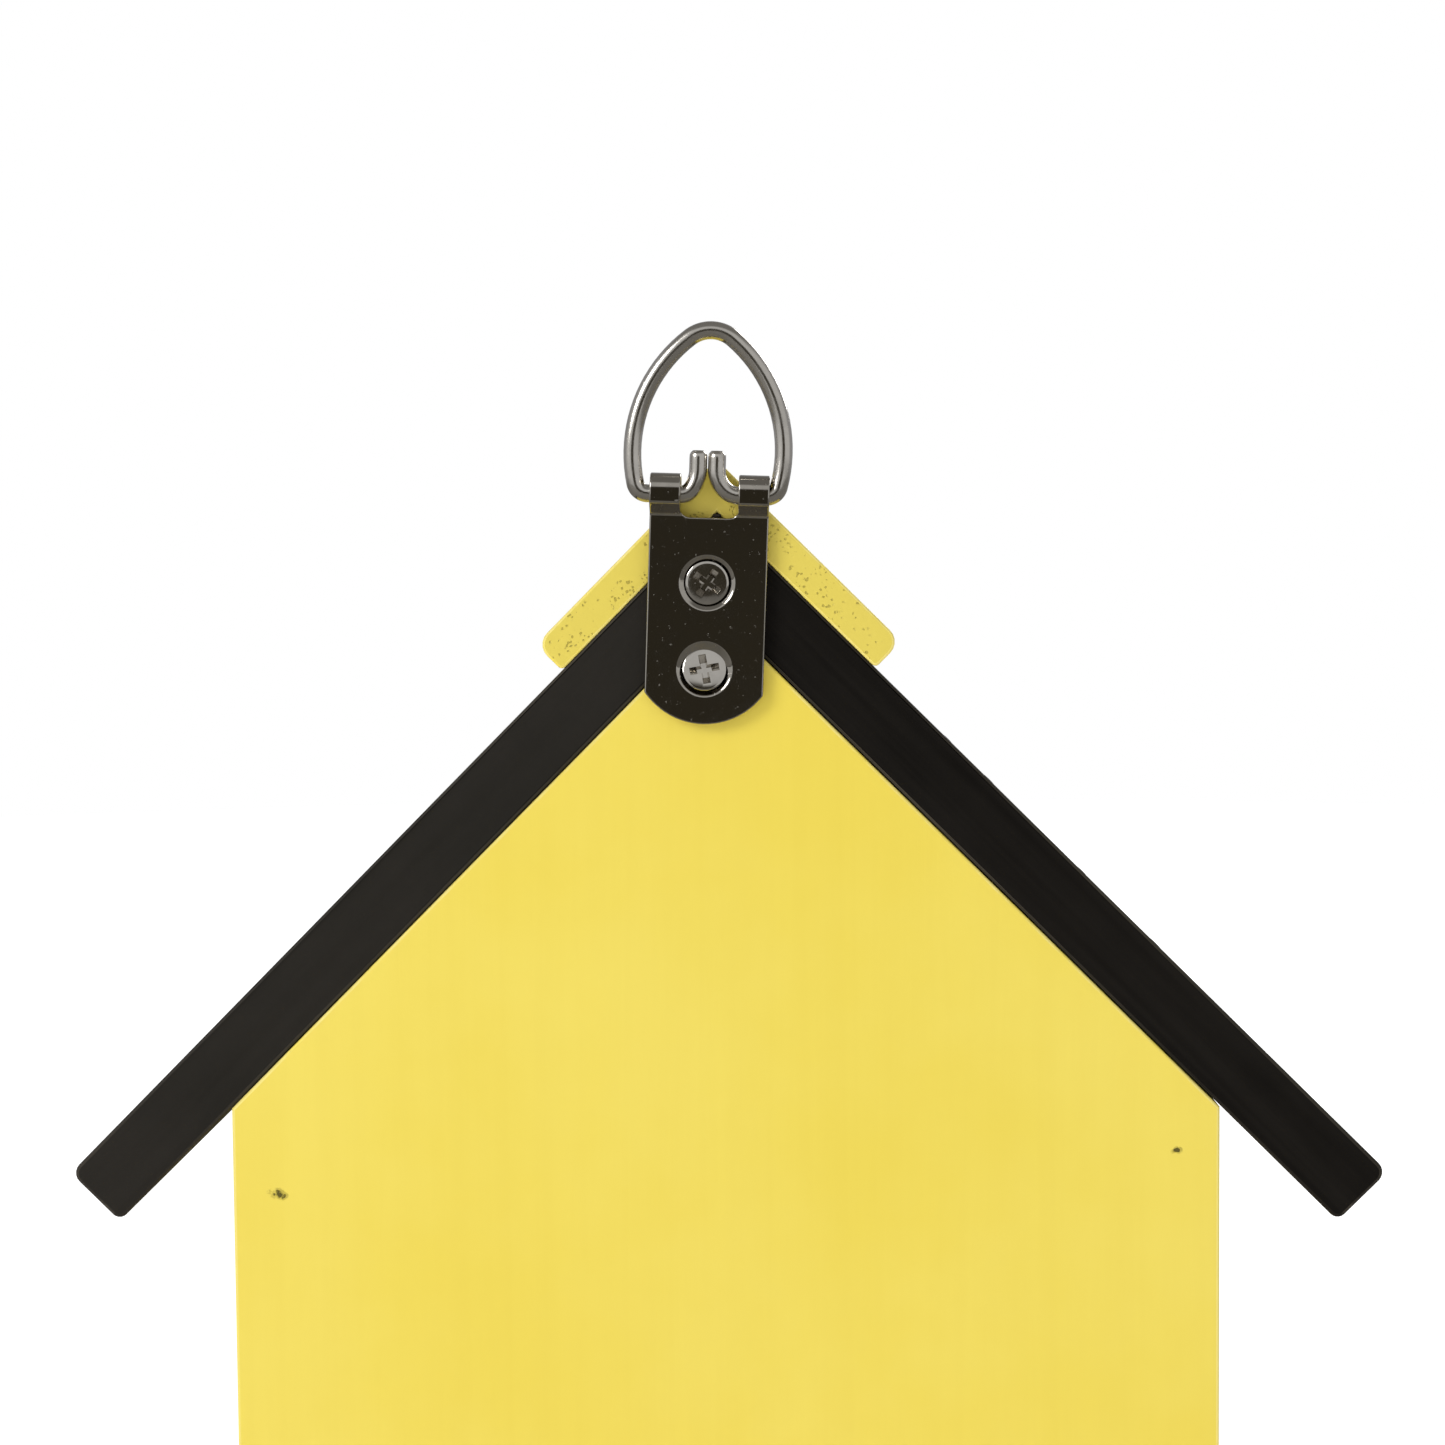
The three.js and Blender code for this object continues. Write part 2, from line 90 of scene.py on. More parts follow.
def calculate(tree, operation, a, b=0.0, c=0.0):
    return add_node(tree, "ShaderNodeMath", {0: a, 1: b, 2: c}, operation=operation).outputs[0]


def ramp(tree, value, low, high):
    """Smoothly 0 below low and 1 above high."""
    node = add_node(
        tree, "ShaderNodeMapRange", {"Value": value, "From Min": low, "From Max": high},
        interpolation_type="SMOOTHSTEP",
    )
    return node.outputs["Result"]


def blend_colour(tree, factor, first, second, mode="MIX"):
    node = add_node(
        tree, "ShaderNodeMix", {0: factor, 6: first, 7: second}, data_type="RGBA", blend_type=mode
    )
    return node.outputs[2]


def new_group(name, inputs, outputs):
    """An empty shader group with named sockets, and its two end nodes."""
    tree = bpy.data.node_groups.new(name, "ShaderNodeTree")
    for label, (kind, value) in inputs.items():
        socket = tree.interface.new_socket(label, in_out="INPUT", socket_type=kind)
        if value is not None:
            socket.default_value = value
    for label in outputs:
        tree.interface.new_socket(label, in_out="OUTPUT", socket_type="NodeSocketFloat")
    start = tree.nodes.new("NodeGroupInput")
    end = tree.nodes.new("NodeGroupOutput")
    return tree, start, end


def place_group(tree, group, inputs):
    node = tree.nodes.new("ShaderNodeGroup")
    node.node_tree = group
    for key, value in inputs.items():
        if isinstance(value, bpy.types.NodeSocket):
            tree.links.new(value, node.inputs[key])
        else:
            node.inputs[key].default_value = value
    return node


def start_material(name, roughness, metallic=0.0, **sockets):
    material = bpy.data.materials.new(name)
    material.use_nodes = True
    tree = material.node_tree
    shader = tree.nodes["Principled BSDF"]
    shader.inputs["Roughness"].default_value = roughness
    shader.inputs["Metallic"].default_value = metallic
    for label, value in sockets.items():
        shader.inputs[label.replace("_", " ")].default_value = value
    where = tree.nodes.new("ShaderNodeTexCoord").outputs["Object"]
    return material, tree, shader, where


def raise_surface(tree, shader, height, depth, strength=1.0):
    bump = add_node(
        tree, "ShaderNodeBump", {"Height": height, "Distance": depth, "Strength": strength}
    )
    tree.links.new(bump.outputs["Normal"], shader.inputs["Normal"])


# %% [markdown]
# ## Effects that several finishes share
# Sprayed paint is never quite flat or one colour, wood grain runs one way, cut ends show open
# pores, and handled metal has specks and fine scratches. Each effect is a group that gives out
# masks and heights only, so that a finish can use it at its own scale.


# %% Paint skin: slow mottle and fine orange peel
def paint_skin_group():
    tree, start, end = new_group(
        "paint skin",
        {
            "Vector": ("NodeSocketVector", None),
            "Mottle Scale": ("NodeSocketFloat", 28.0),
            "Peel Scale": ("NodeSocketFloat", 900.0),
        },
        ["Mottle", "Peel"],
    )
    mottle = add_node(
        tree, "ShaderNodeTexNoise",
        {"Vector": start.outputs["Vector"], "Scale": start.outputs["Mottle Scale"], "Detail": 4.0,
         "Roughness": 0.55},
    )
    peel = add_node(
        tree, "ShaderNodeTexNoise",
        {"Vector": start.outputs["Vector"], "Scale": start.outputs["Peel Scale"], "Detail": 2.0},
    )
    tree.links.new(ramp(tree, mottle.outputs["Fac"], 0.3, 0.7), end.inputs["Mottle"])
    tree.links.new(peel.outputs["Fac"], end.inputs["Peel"])
    return tree


# %% Grain: fine lines along a board
def grain_group():
    tree, start, end = new_group(
        "board grain",
        {
            "Vector": ("NodeSocketVector", None),
            "Stretch": ("NodeSocketVector", (1.0, 1.0, 1.0)),
        },
        ["Grain"],
    )
    stretched = add_node(
        tree, "ShaderNodeVectorMath",
        {0: start.outputs["Vector"], 1: start.outputs["Stretch"]}, operation="MULTIPLY",
    )
    lines = add_node(
        tree, "ShaderNodeTexNoise",
        {"Vector": stretched.outputs[0], "Scale": 1.0, "Detail": 5.0, "Roughness": 0.6,
         "Distortion": 0.4},
    )
    tree.links.new(ramp(tree, lines.outputs["Fac"], 0.25, 0.75), end.inputs["Grain"])
    return tree


# %% End grain: open pores in drifting rows
def pores_group():
    tree, start, end = new_group(
        "open pores",
        {
            "Vector": ("NodeSocketVector", None),
            "Pore Scale": ("NodeSocketFloat", 1900.0),
            "Row Scale": ("NodeSocketFloat", 330.0),
        },
        ["Pores"],
    )
    cells = add_node(
        tree, "ShaderNodeTexVoronoi",
        {"Vector": start.outputs["Vector"], "Scale": start.outputs["Pore Scale"]},
    )
    size = add_node(
        tree, "ShaderNodeTexNoise",
        {"Vector": start.outputs["Vector"], "Scale": start.outputs["Pore Scale"], "Detail": 0.0},
    )
    rows = add_node(
        tree, "ShaderNodeTexNoise",
        {"Vector": start.outputs["Vector"], "Scale": start.outputs["Row Scale"], "Detail": 3.0,
         "Distortion": 1.2},
    )
    room = calculate(tree, "MULTIPLY", size.outputs["Fac"], 0.72)
    inside = calculate(tree, "SUBTRACT", room, cells.outputs["Distance"])
    dots = ramp(tree, inside, 0.0, 0.1)
    bands = ramp(tree, rows.outputs["Fac"], 0.53, 0.6)
    tree.links.new(calculate(tree, "MULTIPLY", dots, bands), end.inputs["Pores"])
    return tree


# %% Scuffs: specks and hairline scratches on plated steel
def scuffs_group():
    tree, start, end = new_group(
        "plating scuffs",
        {
            "Vector": ("NodeSocketVector", None),
            "Speck Scale": ("NodeSocketFloat", 1500.0),
        },
        ["Specks", "Haze"],
    )
    specks = add_node(
        tree, "ShaderNodeTexNoise",
        {"Vector": start.outputs["Vector"], "Scale": start.outputs["Speck Scale"], "Detail": 3.0,
         "Roughness": 0.7},
    )
    haze = add_node(
        tree, "ShaderNodeTexNoise",
        {"Vector": start.outputs["Vector"], "Scale": 320.0, "Detail": 4.0, "Distortion": 0.8},
    )
    tree.links.new(ramp(tree, specks.outputs["Fac"], 0.62, 0.72), end.inputs["Specks"])
    tree.links.new(ramp(tree, haze.outputs["Fac"], 0.35, 0.75), end.inputs["Haze"])
    return tree


paint_skin = paint_skin_group()
board_grain = grain_group()
open_pores = pores_group()
plating_scuffs = scuffs_group()
print("shared effects:", paint_skin.name, board_grain.name, open_pores.name, plating_scuffs.name)

# %% [markdown]
# ## Yellow and black paint
# The house is sprayed in a satin yellow and its roof in a near-matte black. Both are one
# Principled shader: the paint skin moves the colour a little, and grain and orange peel stand
# only a few hundredths of a millimetre proud. Where a corner is eased the coat is thinner, which
# an `edge` attribute on the eased faces tells the material.


# %% Where the brads went in
def centre_of(node):
    low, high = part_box(node)
    return (low + high) / 2, high - low


def on_back_face(node):
    place = centre_of(node)[0]
    return Vector((place.x, back_face, place.z))


back_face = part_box("back_panel")[1].y
torn_marks = [
    (on_back_face("brad_back_left_top"), 1.35), (on_back_face("brad_back_right_top"), 0.75),
]
print("torn paint at", [tuple(round(c / MM, 1) for c in mark) for mark, size in torn_marks])


# %% Yellow paint
def yellow_finish(name, grain_stretch, end_grain=False, marks=()):
    material, tree, shader, where = start_material(name, 0.42, Specular_IOR_Level=0.35)
    skin = place_group(tree, paint_skin, {"Vector": where, "Mottle Scale": 24.0})
    grain = place_group(tree, board_grain, {"Vector": where, "Stretch": grain_stretch})
    colour = blend_colour(
        tree, skin.outputs["Mottle"], (0.862, 0.700, 0.112, 1), (0.835, 0.662, 0.082, 1)
    )
    faint = calculate(tree, "MULTIPLY", grain.outputs["Grain"], 0.10)
    colour = blend_colour(tree, faint, colour, (0.72, 0.54, 0.05, 1))
    worn = add_node(tree, "ShaderNodeAttribute", attribute_name="edge").outputs["Fac"]
    thin = calculate(tree, "MULTIPLY", worn, calculate(tree, "MULTIPLY", grain.outputs["Grain"], 0.5))
    colour = blend_colour(tree, thin, colour, (0.93, 0.82, 0.36, 1))
    height = calculate(tree, "MULTIPLY", skin.outputs["Peel"], 0.5)
    height = calculate(tree, "MULTIPLY_ADD", grain.outputs["Grain"], 0.45, height)
    if end_grain:
        colour, height = show_pores(tree, where, colour, height)
    for mark, size in marks:
        colour, height = tear_paint(tree, where, mark, size, colour, height)
    tree.links.new(colour, shader.inputs["Base Color"])
    rough = add_node(
        tree, "ShaderNodeMapRange", {"Value": skin.outputs["Mottle"], "To Min": 0.38, "To Max": 0.5}
    )
    tree.links.new(rough.outputs["Result"], shader.inputs["Roughness"])
    raise_surface(tree, shader, height, 0.06 * MM, 0.8)
    return material


def show_pores(tree, where, colour, height):
    """Open pores on the moulding's two flat ends, where it was sawn across."""
    sawn = add_node(tree, "ShaderNodeAttribute", attribute_name="flat").outputs["Fac"]
    pores = place_group(tree, open_pores, {"Vector": where})
    dots = calculate(tree, "MULTIPLY", pores.outputs["Pores"], sawn)
    colour = blend_colour(tree, sawn, colour, (0.757, 0.614, 0.10, 1))
    colour = blend_colour(tree, calculate(tree, "MULTIPLY", dots, 0.6), colour, (0.30, 0.23, 0.03, 1))
    return colour, calculate(tree, "SUBTRACT", height, calculate(tree, "MULTIPLY", dots, 2.5))


def tear_paint(tree, where, mark, size, colour, height):
    """A brad hole with torn paint round it: a darker ring of torn paint, painted shade in the middle where the
    recess is, and the rim lifted.
    """
    wander = add_node(tree, "ShaderNodeTexNoise", {"Vector": where, "Scale": 1100.0, "Detail": 3.0})
    offset = add_node(tree, "ShaderNodeVectorMath", {0: where, 1: mark}, operation="SUBTRACT")
    stretched = add_node(
        tree, "ShaderNodeVectorMath", {0: offset.outputs[0], 1: (0.8, 1.0, 1.5)},
        operation="MULTIPLY",
    )
    length = add_node(tree, "ShaderNodeVectorMath", {0: stretched.outputs[0]}, operation="LENGTH")
    shaky = calculate(tree, "MULTIPLY_ADD", wander.outputs["Fac"], 1.7 * MM, -0.85 * MM)
    reach = calculate(tree, "ADD", calculate(tree, "DIVIDE", length.outputs["Value"], size), shaky)
    hole = calculate(tree, "SUBTRACT", 1.0, ramp(tree, reach, 0.35 * MM, 0.55 * MM))
    rim = calculate(tree, "SUBTRACT", 1.0, ramp(tree, reach, 0.6 * MM, 0.95 * MM))
    colour = blend_colour(
        tree, calculate(tree, "MULTIPLY", rim, 0.55), colour, (0.50, 0.40, 0.05, 1)
    )
    # Painted shade: the hole's middle is coloured a dark, shaded yellow, since the hole is only sunk by a bump and
    # casts no shade of its own.
    colour = blend_colour(tree, hole, colour, (0.12, 0.10, 0.015, 1))
    lifted = calculate(tree, "MULTIPLY", calculate(tree, "SUBTRACT", rim, hole), 3.0)
    sunk = calculate(tree, "MULTIPLY", hole, 6.0)
    height = calculate(tree, "SUBTRACT", calculate(tree, "ADD", height, lifted), sunk)
    return colour, height


upright_grain = (260.0, 260.0, 9.0)
crosswise_grain = (9.0, 260.0, 260.0)
lengthwise_grain = (260.0, 9.0, 260.0)
yellow_back = yellow_finish("yellow paint, back", upright_grain, marks=torn_marks)
yellow_upright = yellow_finish("yellow paint, upright grain", upright_grain)
yellow_crosswise = yellow_finish("yellow paint, crosswise grain", crosswise_grain)
yellow_moulding = yellow_finish("yellow paint, moulding", lengthwise_grain, end_grain=True)
print("yellow paints:", yellow_back.name, "and", yellow_moulding.name, "among four")


# %% Black paint
def black_finish(name, slope, dark, light, gloss):
    """slope is +1 or -1: the side that the board's grain runs down to."""
    material, tree, shader, where = start_material(name, 0.6, Specular_IOR_Level=gloss)
    turned = add_node(
        tree, "ShaderNodeMapping", {"Vector": where, "Rotation": (0, -slope * math.pi / 4, 0)}
    )
    skin = place_group(tree, paint_skin, {"Vector": where, "Mottle Scale": 40.0})
    grain = place_group(
        tree, board_grain, {"Vector": turned.outputs["Vector"], "Stretch": (14.0, 420.0, 420.0)}
    )
    colour = blend_colour(tree, skin.outputs["Mottle"], dark, light)
    faint = calculate(tree, "MULTIPLY", grain.outputs["Grain"], 0.25)
    colour = blend_colour(tree, faint, colour, (0.024, 0.021, 0.017, 1))
    worn = add_node(tree, "ShaderNodeAttribute", attribute_name="edge").outputs["Fac"]
    thin = calculate(tree, "MULTIPLY", worn, calculate(tree, "MULTIPLY", grain.outputs["Grain"], 0.8))
    colour = blend_colour(tree, thin, colour, (0.07, 0.06, 0.045, 1))
    tree.links.new(colour, shader.inputs["Base Color"])
    rough = add_node(
        tree, "ShaderNodeMapRange", {"Value": grain.outputs["Grain"], "To Min": 0.52, "To Max": 0.7}
    )
    tree.links.new(rough.outputs["Result"], shader.inputs["Roughness"])
    height = calculate(tree, "MULTIPLY_ADD", grain.outputs["Grain"], 0.8, skin.outputs["Peel"])
    raise_surface(tree, shader, height, 0.05 * MM, 0.8)
    return material


# Two copies of one black paint: the left copy is painted lighter and glossier, the right copy darker and duller.
# The difference is painted light and shade between the two roof boards, not two paints.
black_paint_painted_lit = black_finish(
    "black paint, painted lighter, left slope", 1, (0.014, 0.012, 0.0085, 1), (0.019, 0.016, 0.012, 1), 0.18
)
black_paint_painted_shaded = black_finish(
    "black paint, painted darker, right slope", -1, (0.0045, 0.0035, 0.0025, 1), (0.008, 0.0065, 0.005, 1), 0.08
)
print("black paints:", black_paint_painted_lit.name, "and", black_paint_painted_shaded.name)

# %% [markdown]
# ## Metals
# The strap is nickel plate left bright from the press, so it mirrors the room: it looks dark
# where the room is dark. The ring's wire was drawn and barrel polished, which leaves it softer.
# Specks and haze break both reflections up.


# %% Plated steel
def plated_steel(name, colour, roughness, haze, speck):
    material, tree, shader, where = start_material(name, roughness, metallic=1.0)
    scuffs = place_group(tree, plating_scuffs, {"Vector": where, "Speck Scale": 1300.0})
    dulled = blend_colour(
        tree, calculate(tree, "MULTIPLY", scuffs.outputs["Haze"], 0.4),
        (*colour, 1), tuple(c * 0.72 for c in colour) + (1,),
    )
    tree.links.new(dulled, shader.inputs["Base Color"])
    rough = calculate(tree, "MULTIPLY_ADD", scuffs.outputs["Haze"], haze, roughness)
    rough = calculate(tree, "MULTIPLY_ADD", scuffs.outputs["Specks"], speck, rough)
    tree.links.new(rough, shader.inputs["Roughness"])
    raise_surface(tree, shader, scuffs.outputs["Specks"], 0.01 * MM, 0.5)
    return material


strap_nickel = plated_steel("bright nickel strap", (0.50, 0.47, 0.42), 0.05, 0.06, 0.30)
wire_nickel = plated_steel("polished nickel wire", (0.66, 0.63, 0.58), 0.16, 0.10, 0.15)
screw_nickel = plated_steel("nickel screw", (0.64, 0.61, 0.56), 0.10, 0.03, 0.06)
zinc_wire = plated_steel("zinc plated wire", (0.60, 0.60, 0.61), 0.28, 0.15, 0.15)
brad_steel = plated_steel("bare brad steel", (0.40, 0.38, 0.35), 0.35, 0.20, 0.20)
print("metals:", strap_nickel.name, wire_nickel.name, screw_nickel.name, zinc_wire.name)

# %% [markdown]
# ## Plywood, card, glue and rubber
# Inside, the tray is bare plywood with its grain showing. The card is off-white stock printed
# with a counting grid under a wet coat of glue, and the lure is a red rubber sleeve stopper.


# %% Bare plywood
def bare_plywood():
    material, tree, shader, where = start_material("bare plywood", 0.7)
    grain = place_group(tree, board_grain, {"Vector": where, "Stretch": (14.0, 330.0, 330.0)})
    height = add_node(tree, "ShaderNodeSeparateXYZ", {0: where}).outputs["Z"]
    ply = calculate(tree, "SINE", calculate(tree, "MULTIPLY", height, 2 * math.pi / (1.0 * MM)))
    flat = add_node(tree, "ShaderNodeAttribute", attribute_name="flat").outputs["Fac"]
    sawn = calculate(tree, "SUBTRACT", 1.0, flat)
    colour = blend_colour(tree, grain.outputs["Grain"], (0.66, 0.47, 0.27, 1), (0.50, 0.33, 0.17, 1))
    stripes = ramp(tree, ply, -0.2, 0.2)
    layers = calculate(tree, "MULTIPLY", stripes, calculate(tree, "MULTIPLY", sawn, 0.6))
    colour = blend_colour(tree, layers, colour, (0.30, 0.18, 0.08, 1))
    tree.links.new(colour, shader.inputs["Base Color"])
    raise_surface(tree, shader, grain.outputs["Grain"], 0.08 * MM)
    return material


# %% Glue-coated card with a counting grid
def glued_card():
    material, tree, shader, where = start_material("glued card", 0.25, Coat_Weight=0.8,
                                                   Coat_Roughness=0.08)
    axes = add_node(tree, "ShaderNodeSeparateXYZ", {0: where})
    grid = 15 * MM
    lines = []
    for axis in ("X", "Y"):
        phase = calculate(tree, "PINGPONG", axes.outputs[axis], grid / 2)
        lines.append(calculate(tree, "SUBTRACT", 1.0, ramp(tree, phase, 0.12 * MM, 0.28 * MM)))
    printed = calculate(tree, "MAXIMUM", *lines)
    colour = blend_colour(
        tree, calculate(tree, "MULTIPLY", printed, 0.8), (0.83, 0.80, 0.66, 1), (0.18, 0.36, 0.22, 1)
    )
    tree.links.new(colour, shader.inputs["Base Color"])
    ripple = add_node(
        tree, "ShaderNodeTexNoise", {"Vector": where, "Scale": 260.0, "Detail": 3.0,
                                     "Distortion": 1.5},
    )
    raise_surface(tree, shader, ripple.outputs["Fac"], 0.25 * MM)
    return material


# %% Glue beads and lure rubber
def glue_beads():
    material, tree, shader, where = start_material(
        "glue bead", 0.05, IOR=1.45, Transmission_Weight=0.9
    )
    cloud = add_node(tree, "ShaderNodeTexNoise", {"Vector": where, "Scale": 500.0})
    tint = blend_colour(tree, cloud.outputs["Fac"], (0.95, 0.90, 0.70, 1), (0.90, 0.82, 0.55, 1))
    tree.links.new(tint, shader.inputs["Base Color"])
    raise_surface(tree, shader, cloud.outputs["Fac"], 0.05 * MM)
    return material


def lure_rubber():
    material, tree, shader, where = start_material("red lure rubber", 0.62)
    bloom = add_node(
        tree, "ShaderNodeTexNoise", {"Vector": where, "Scale": 420.0, "Detail": 5.0}
    )
    colour = blend_colour(
        tree, ramp(tree, bloom.outputs["Fac"], 0.42, 0.68), (0.34, 0.055, 0.035, 1),
        (0.46, 0.13, 0.09, 1),
    )
    tree.links.new(colour, shader.inputs["Base Color"])
    raise_surface(tree, shader, bloom.outputs["Fac"], 0.06 * MM)
    return material


plywood = bare_plywood()
card_finish = glued_card()
bead_finish = glue_beads()
rubber_finish = lure_rubber()
print("inside finishes:", plywood.name, card_finish.name, bead_finish.name, rubber_finish.name)

# %% [markdown]
# ## Boards with eased corners
# A sawn board's corners are rubbed down before it is painted. A filled 2D curve makes such a
# board in one go: it takes an outline with holes, a thickness, and a small bevel that runs round
# the holes too. The result is turned into a mesh and stood up in its place.


# %% Outlines
def rounded(corners, steps=5):
    """An outline with each corner (x, z, radius) turned into a short arc."""
    outline = []
    for i, (x, z, radius) in enumerate(corners):
        here = Vector((x, z))
        to_last = (Vector(corners[i - 1][:2]) - here).normalized()
        to_next = (Vector(corners[(i + 1) % len(corners)][:2]) - here).normalized()
        if radius == 0:
            outline.append(here)
            continue
        half = to_last.angle(to_next) / 2
        centre = here + (to_last + to_next).normalized() * (radius / math.sin(half))
        start = here + to_last * (radius / math.tan(half)) - centre
        end = here + to_next * (radius / math.tan(half)) - centre
        turn = start.angle_signed(end)
        for k in range(steps + 1):
            angle = -turn * k / steps
            outline.append(centre + Matrix.Rotation(angle, 2) @ start)
    return outline


def circle(x, z, radius, count=64):
    return [
        Vector((x + radius * math.cos(2 * math.pi * k / count),
                z + radius * math.sin(2 * math.pi * k / count)))
        for k in range(count)
    ]


# %% Cutting a board
upright = Matrix(((1, 0, 0), (0, 0, -1), (0, 1, 0)))   # an outline in X and Z, thick along Y
sideways = Matrix(((0, 0, 1), (1, 0, 0), (0, 1, 0)))   # an outline in Y and Z, thick along X
level = Matrix.Identity(3)                             # an outline in X and Y, thick along Z


def cut_board(outline, thickness, ease, turn, centre, holes=()):
    curve = bpy.data.curves.new("board outline", "CURVE")
    curve.dimensions = "2D"
    curve.fill_mode = "BOTH"
    for loop in [outline, *holes]:
        spline = curve.splines.new("POLY")
        spline.points.add(len(loop) - 1)
        for point, place in zip(spline.points, loop):
            point.co = (place.x, place.y, 0, 1)
        spline.use_cyclic_u = True
    curve.extrude = thickness / 2 - ease
    curve.bevel_depth = ease
    curve.bevel_resolution = 2
    curve.offset = -ease
    pattern = bpy.data.objects.new("board pattern", curve)
    bpy.context.scene.collection.objects.link(pattern)
    graph = bpy.context.evaluated_depsgraph_get()
    mesh = bpy.data.meshes.new_from_object(pattern.evaluated_get(graph))
    bpy.data.objects.remove(pattern)
    weld(mesh)
    face_outward(mesh)
    mark_edges(mesh)
    mesh.transform(Matrix.Translation(centre) @ turn.to_4x4())
    return mesh


def weld(mesh, distance=0.002 * MM):
    shape = bmesh.new()
    shape.from_mesh(mesh)
    bmesh.ops.remove_doubles(shape, verts=shape.verts, dist=distance)
    bmesh.ops.recalc_face_normals(shape, faces=shape.faces)
    shape.to_mesh(mesh)
    shape.free()


def face_outward(mesh):
    """A closed board has a positive volume when its faces point out. The weld can guess wrong."""
    shape = bmesh.new()
    shape.from_mesh(mesh)
    if shape.calc_volume(signed=True) < 0:
        bmesh.ops.reverse_faces(shape, faces=shape.faces)
        shape.to_mesh(mesh)
    shape.free()


def mark_edges(mesh):
    """edge is 1 on the eased faces, and flat is 1 on the board's two flat faces."""
    edge = mesh.attributes.new("edge", "FLOAT", "CORNER")
    flat = mesh.attributes.new("flat", "FLOAT", "CORNER")
    for face in mesh.polygons:
        lean = abs(face.normal.z)
        for corner in face.loop_indices:
            edge.data[corner].value = 1.0 if 0.05 < lean < 0.99 else 0.0
            flat.data[corner].value = 1.0 if lean >= 0.99 else 0.0


# %% Finishing a piece
def finish_piece(name, mesh, material, body, replaces=(), smooth_angle=35):
    mesh.materials.clear()
    mesh.materials.append(material)
    mesh.shade_smooth()
    mesh.set_sharp_from_angle(angle=math.radians(smooth_angle))
    piece = bpy.data.objects.new(name, mesh)
    bpy.context.scene.collection.objects.link(piece)
    weights = piece.modifiers.new("even shading", "WEIGHTED_NORMAL")
    weights.keep_sharp = True
    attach(piece, body)
    if replaces:
        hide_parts(*replaces)
    print(f"{name}: {len(mesh.polygons)} faces")
    return piece


# %% [markdown]
# ## The house
# Two gabled panels stand on the floor board, with the side walls between them. The front panel
# stops short of the floor, where the tray front closes the gap. Sizes come from the working
# model: each board is cut again at the same place, with rubbed corners and no brad holes, since
# the painter filled those.

# %% Driving sizes
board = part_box("floor_board")[1].z
half_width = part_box("back_panel")[1].x
gable_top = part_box("back_panel")[1].z
wall_top = gable_top - half_width
ease = 0.45 * MM
print("board", round(board / MM, 2), "wall", round(wall_top / MM, 2), "gable", round(gable_top / MM, 2))


# %% Gabled panels
def gable_outline(foot):
    return [Vector(p) for p in (
        (-half_width, foot), (half_width, foot), (half_width, wall_top), (0, gable_top),
        (-half_width, wall_top),
    )]


def gable_panel(node, material, holes=()):
    centre, size = centre_of(node)
    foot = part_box(node)[0].z
    mesh = cut_board(
        gable_outline(foot), size.y, ease, upright, Vector((0, centre.y, 0)), holes
    )
    return finish_piece(f"{node}_painted", mesh, material, "house", [node])


openings = frame["record"]["physics"]["openings"]
entry_box = next(o["box_m"] for o in openings if o["name"] == "entry_hole")
entry_height = (entry_box[0][2] + entry_box[1][2]) / 2
entry_radius = 32 * MM
vent_radius = 7 * MM
gable_panel("back_panel", yellow_back)
gable_panel("front_panel", yellow_upright, [circle(0, entry_height, entry_radius, 96)])


# %% Side walls with their scent holes
def side_wall(node, side):
    centre, size = centre_of(node)
    low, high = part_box(node)
    outline = [Vector(p) for p in (
        (low.y, low.z), (high.y, low.z), (high.y, high.z), (low.y, high.z))]
    boxes = [o["box_m"] for o in openings if o["name"].startswith(f"vent_{side}")]
    holes = [
        circle((a[1] + b[1]) / 2, (a[2] + b[2]) / 2, vent_radius, 40) for a, b in boxes
    ]
    mesh = cut_board(outline, size.x, ease, sideways, Vector((centre.x, 0, 0)), holes)
    bevel_top(mesh, centre.x, wall_top)
    return finish_piece(f"{node}_painted", mesh, yellow_upright, "house", [node])


def bevel_top(mesh, wall_x, eaves):
    """Cuts the wall's top to the slope of the roof."""
    outward = Vector((math.copysign(1, wall_x), 0, 1)).normalized()
    corner = Vector((math.copysign(half_width, wall_x), 0, eaves))
    shape = bmesh.new()
    shape.from_mesh(mesh)
    cut = bmesh.ops.bisect_plane(
        shape, geom=shape.verts[:] + shape.edges[:] + shape.faces[:],
        plane_co=corner, plane_no=outward, clear_outer=True,
    )
    rim = [e for e in cut["geom_cut"] if isinstance(e, bmesh.types.BMEdge)]
    bmesh.ops.contextual_create(shape, geom=rim)
    bmesh.ops.recalc_face_normals(shape, faces=shape.faces)
    shape.to_mesh(mesh)
    shape.free()


side_wall("side_wall_left", "left")
side_wall("side_wall_right", "right")


# %% Plain rectangular boards
def plain_board(node, material, body, corner=ease):
    centre, size = centre_of(node)
    outline = [
        Vector((sx * size.x / 2, sy * size.y / 2))
        for sx, sy in ((-1, -1), (1, -1), (1, 1), (-1, 1))
    ]
    mesh = cut_board(outline, size.z, corner, level, centre)
    return finish_piece(f"{node}_board", mesh, material, body, [node])


plain_board("floor_board", yellow_crosswise, "house")

# %% [markdown]
# ## Roof and ridge cap
# Each roof board is a long square-edged plank with its lower corners rubbed round. The ridge cap
# is one length of wooden angle moulding, machined with a soft nose and soft toes. Both are the
# same section all the way, so the section is drawn once and given its length.


# %% Roof boards
def section_piece(name, node, corners, material, corner_ease):
    centre, size = centre_of(node)
    mesh = cut_board(
        rounded(corners), size.y, corner_ease, upright, Vector((0, centre.y, 0))
    )
    return finish_piece(name, mesh, material, "house", [node])


def roof_apex(node):
    """Where a board's upper face, carried on at 45 degrees, meets the middle of the house."""
    low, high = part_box(node)
    return high.z + min(abs(low.x), abs(high.x))


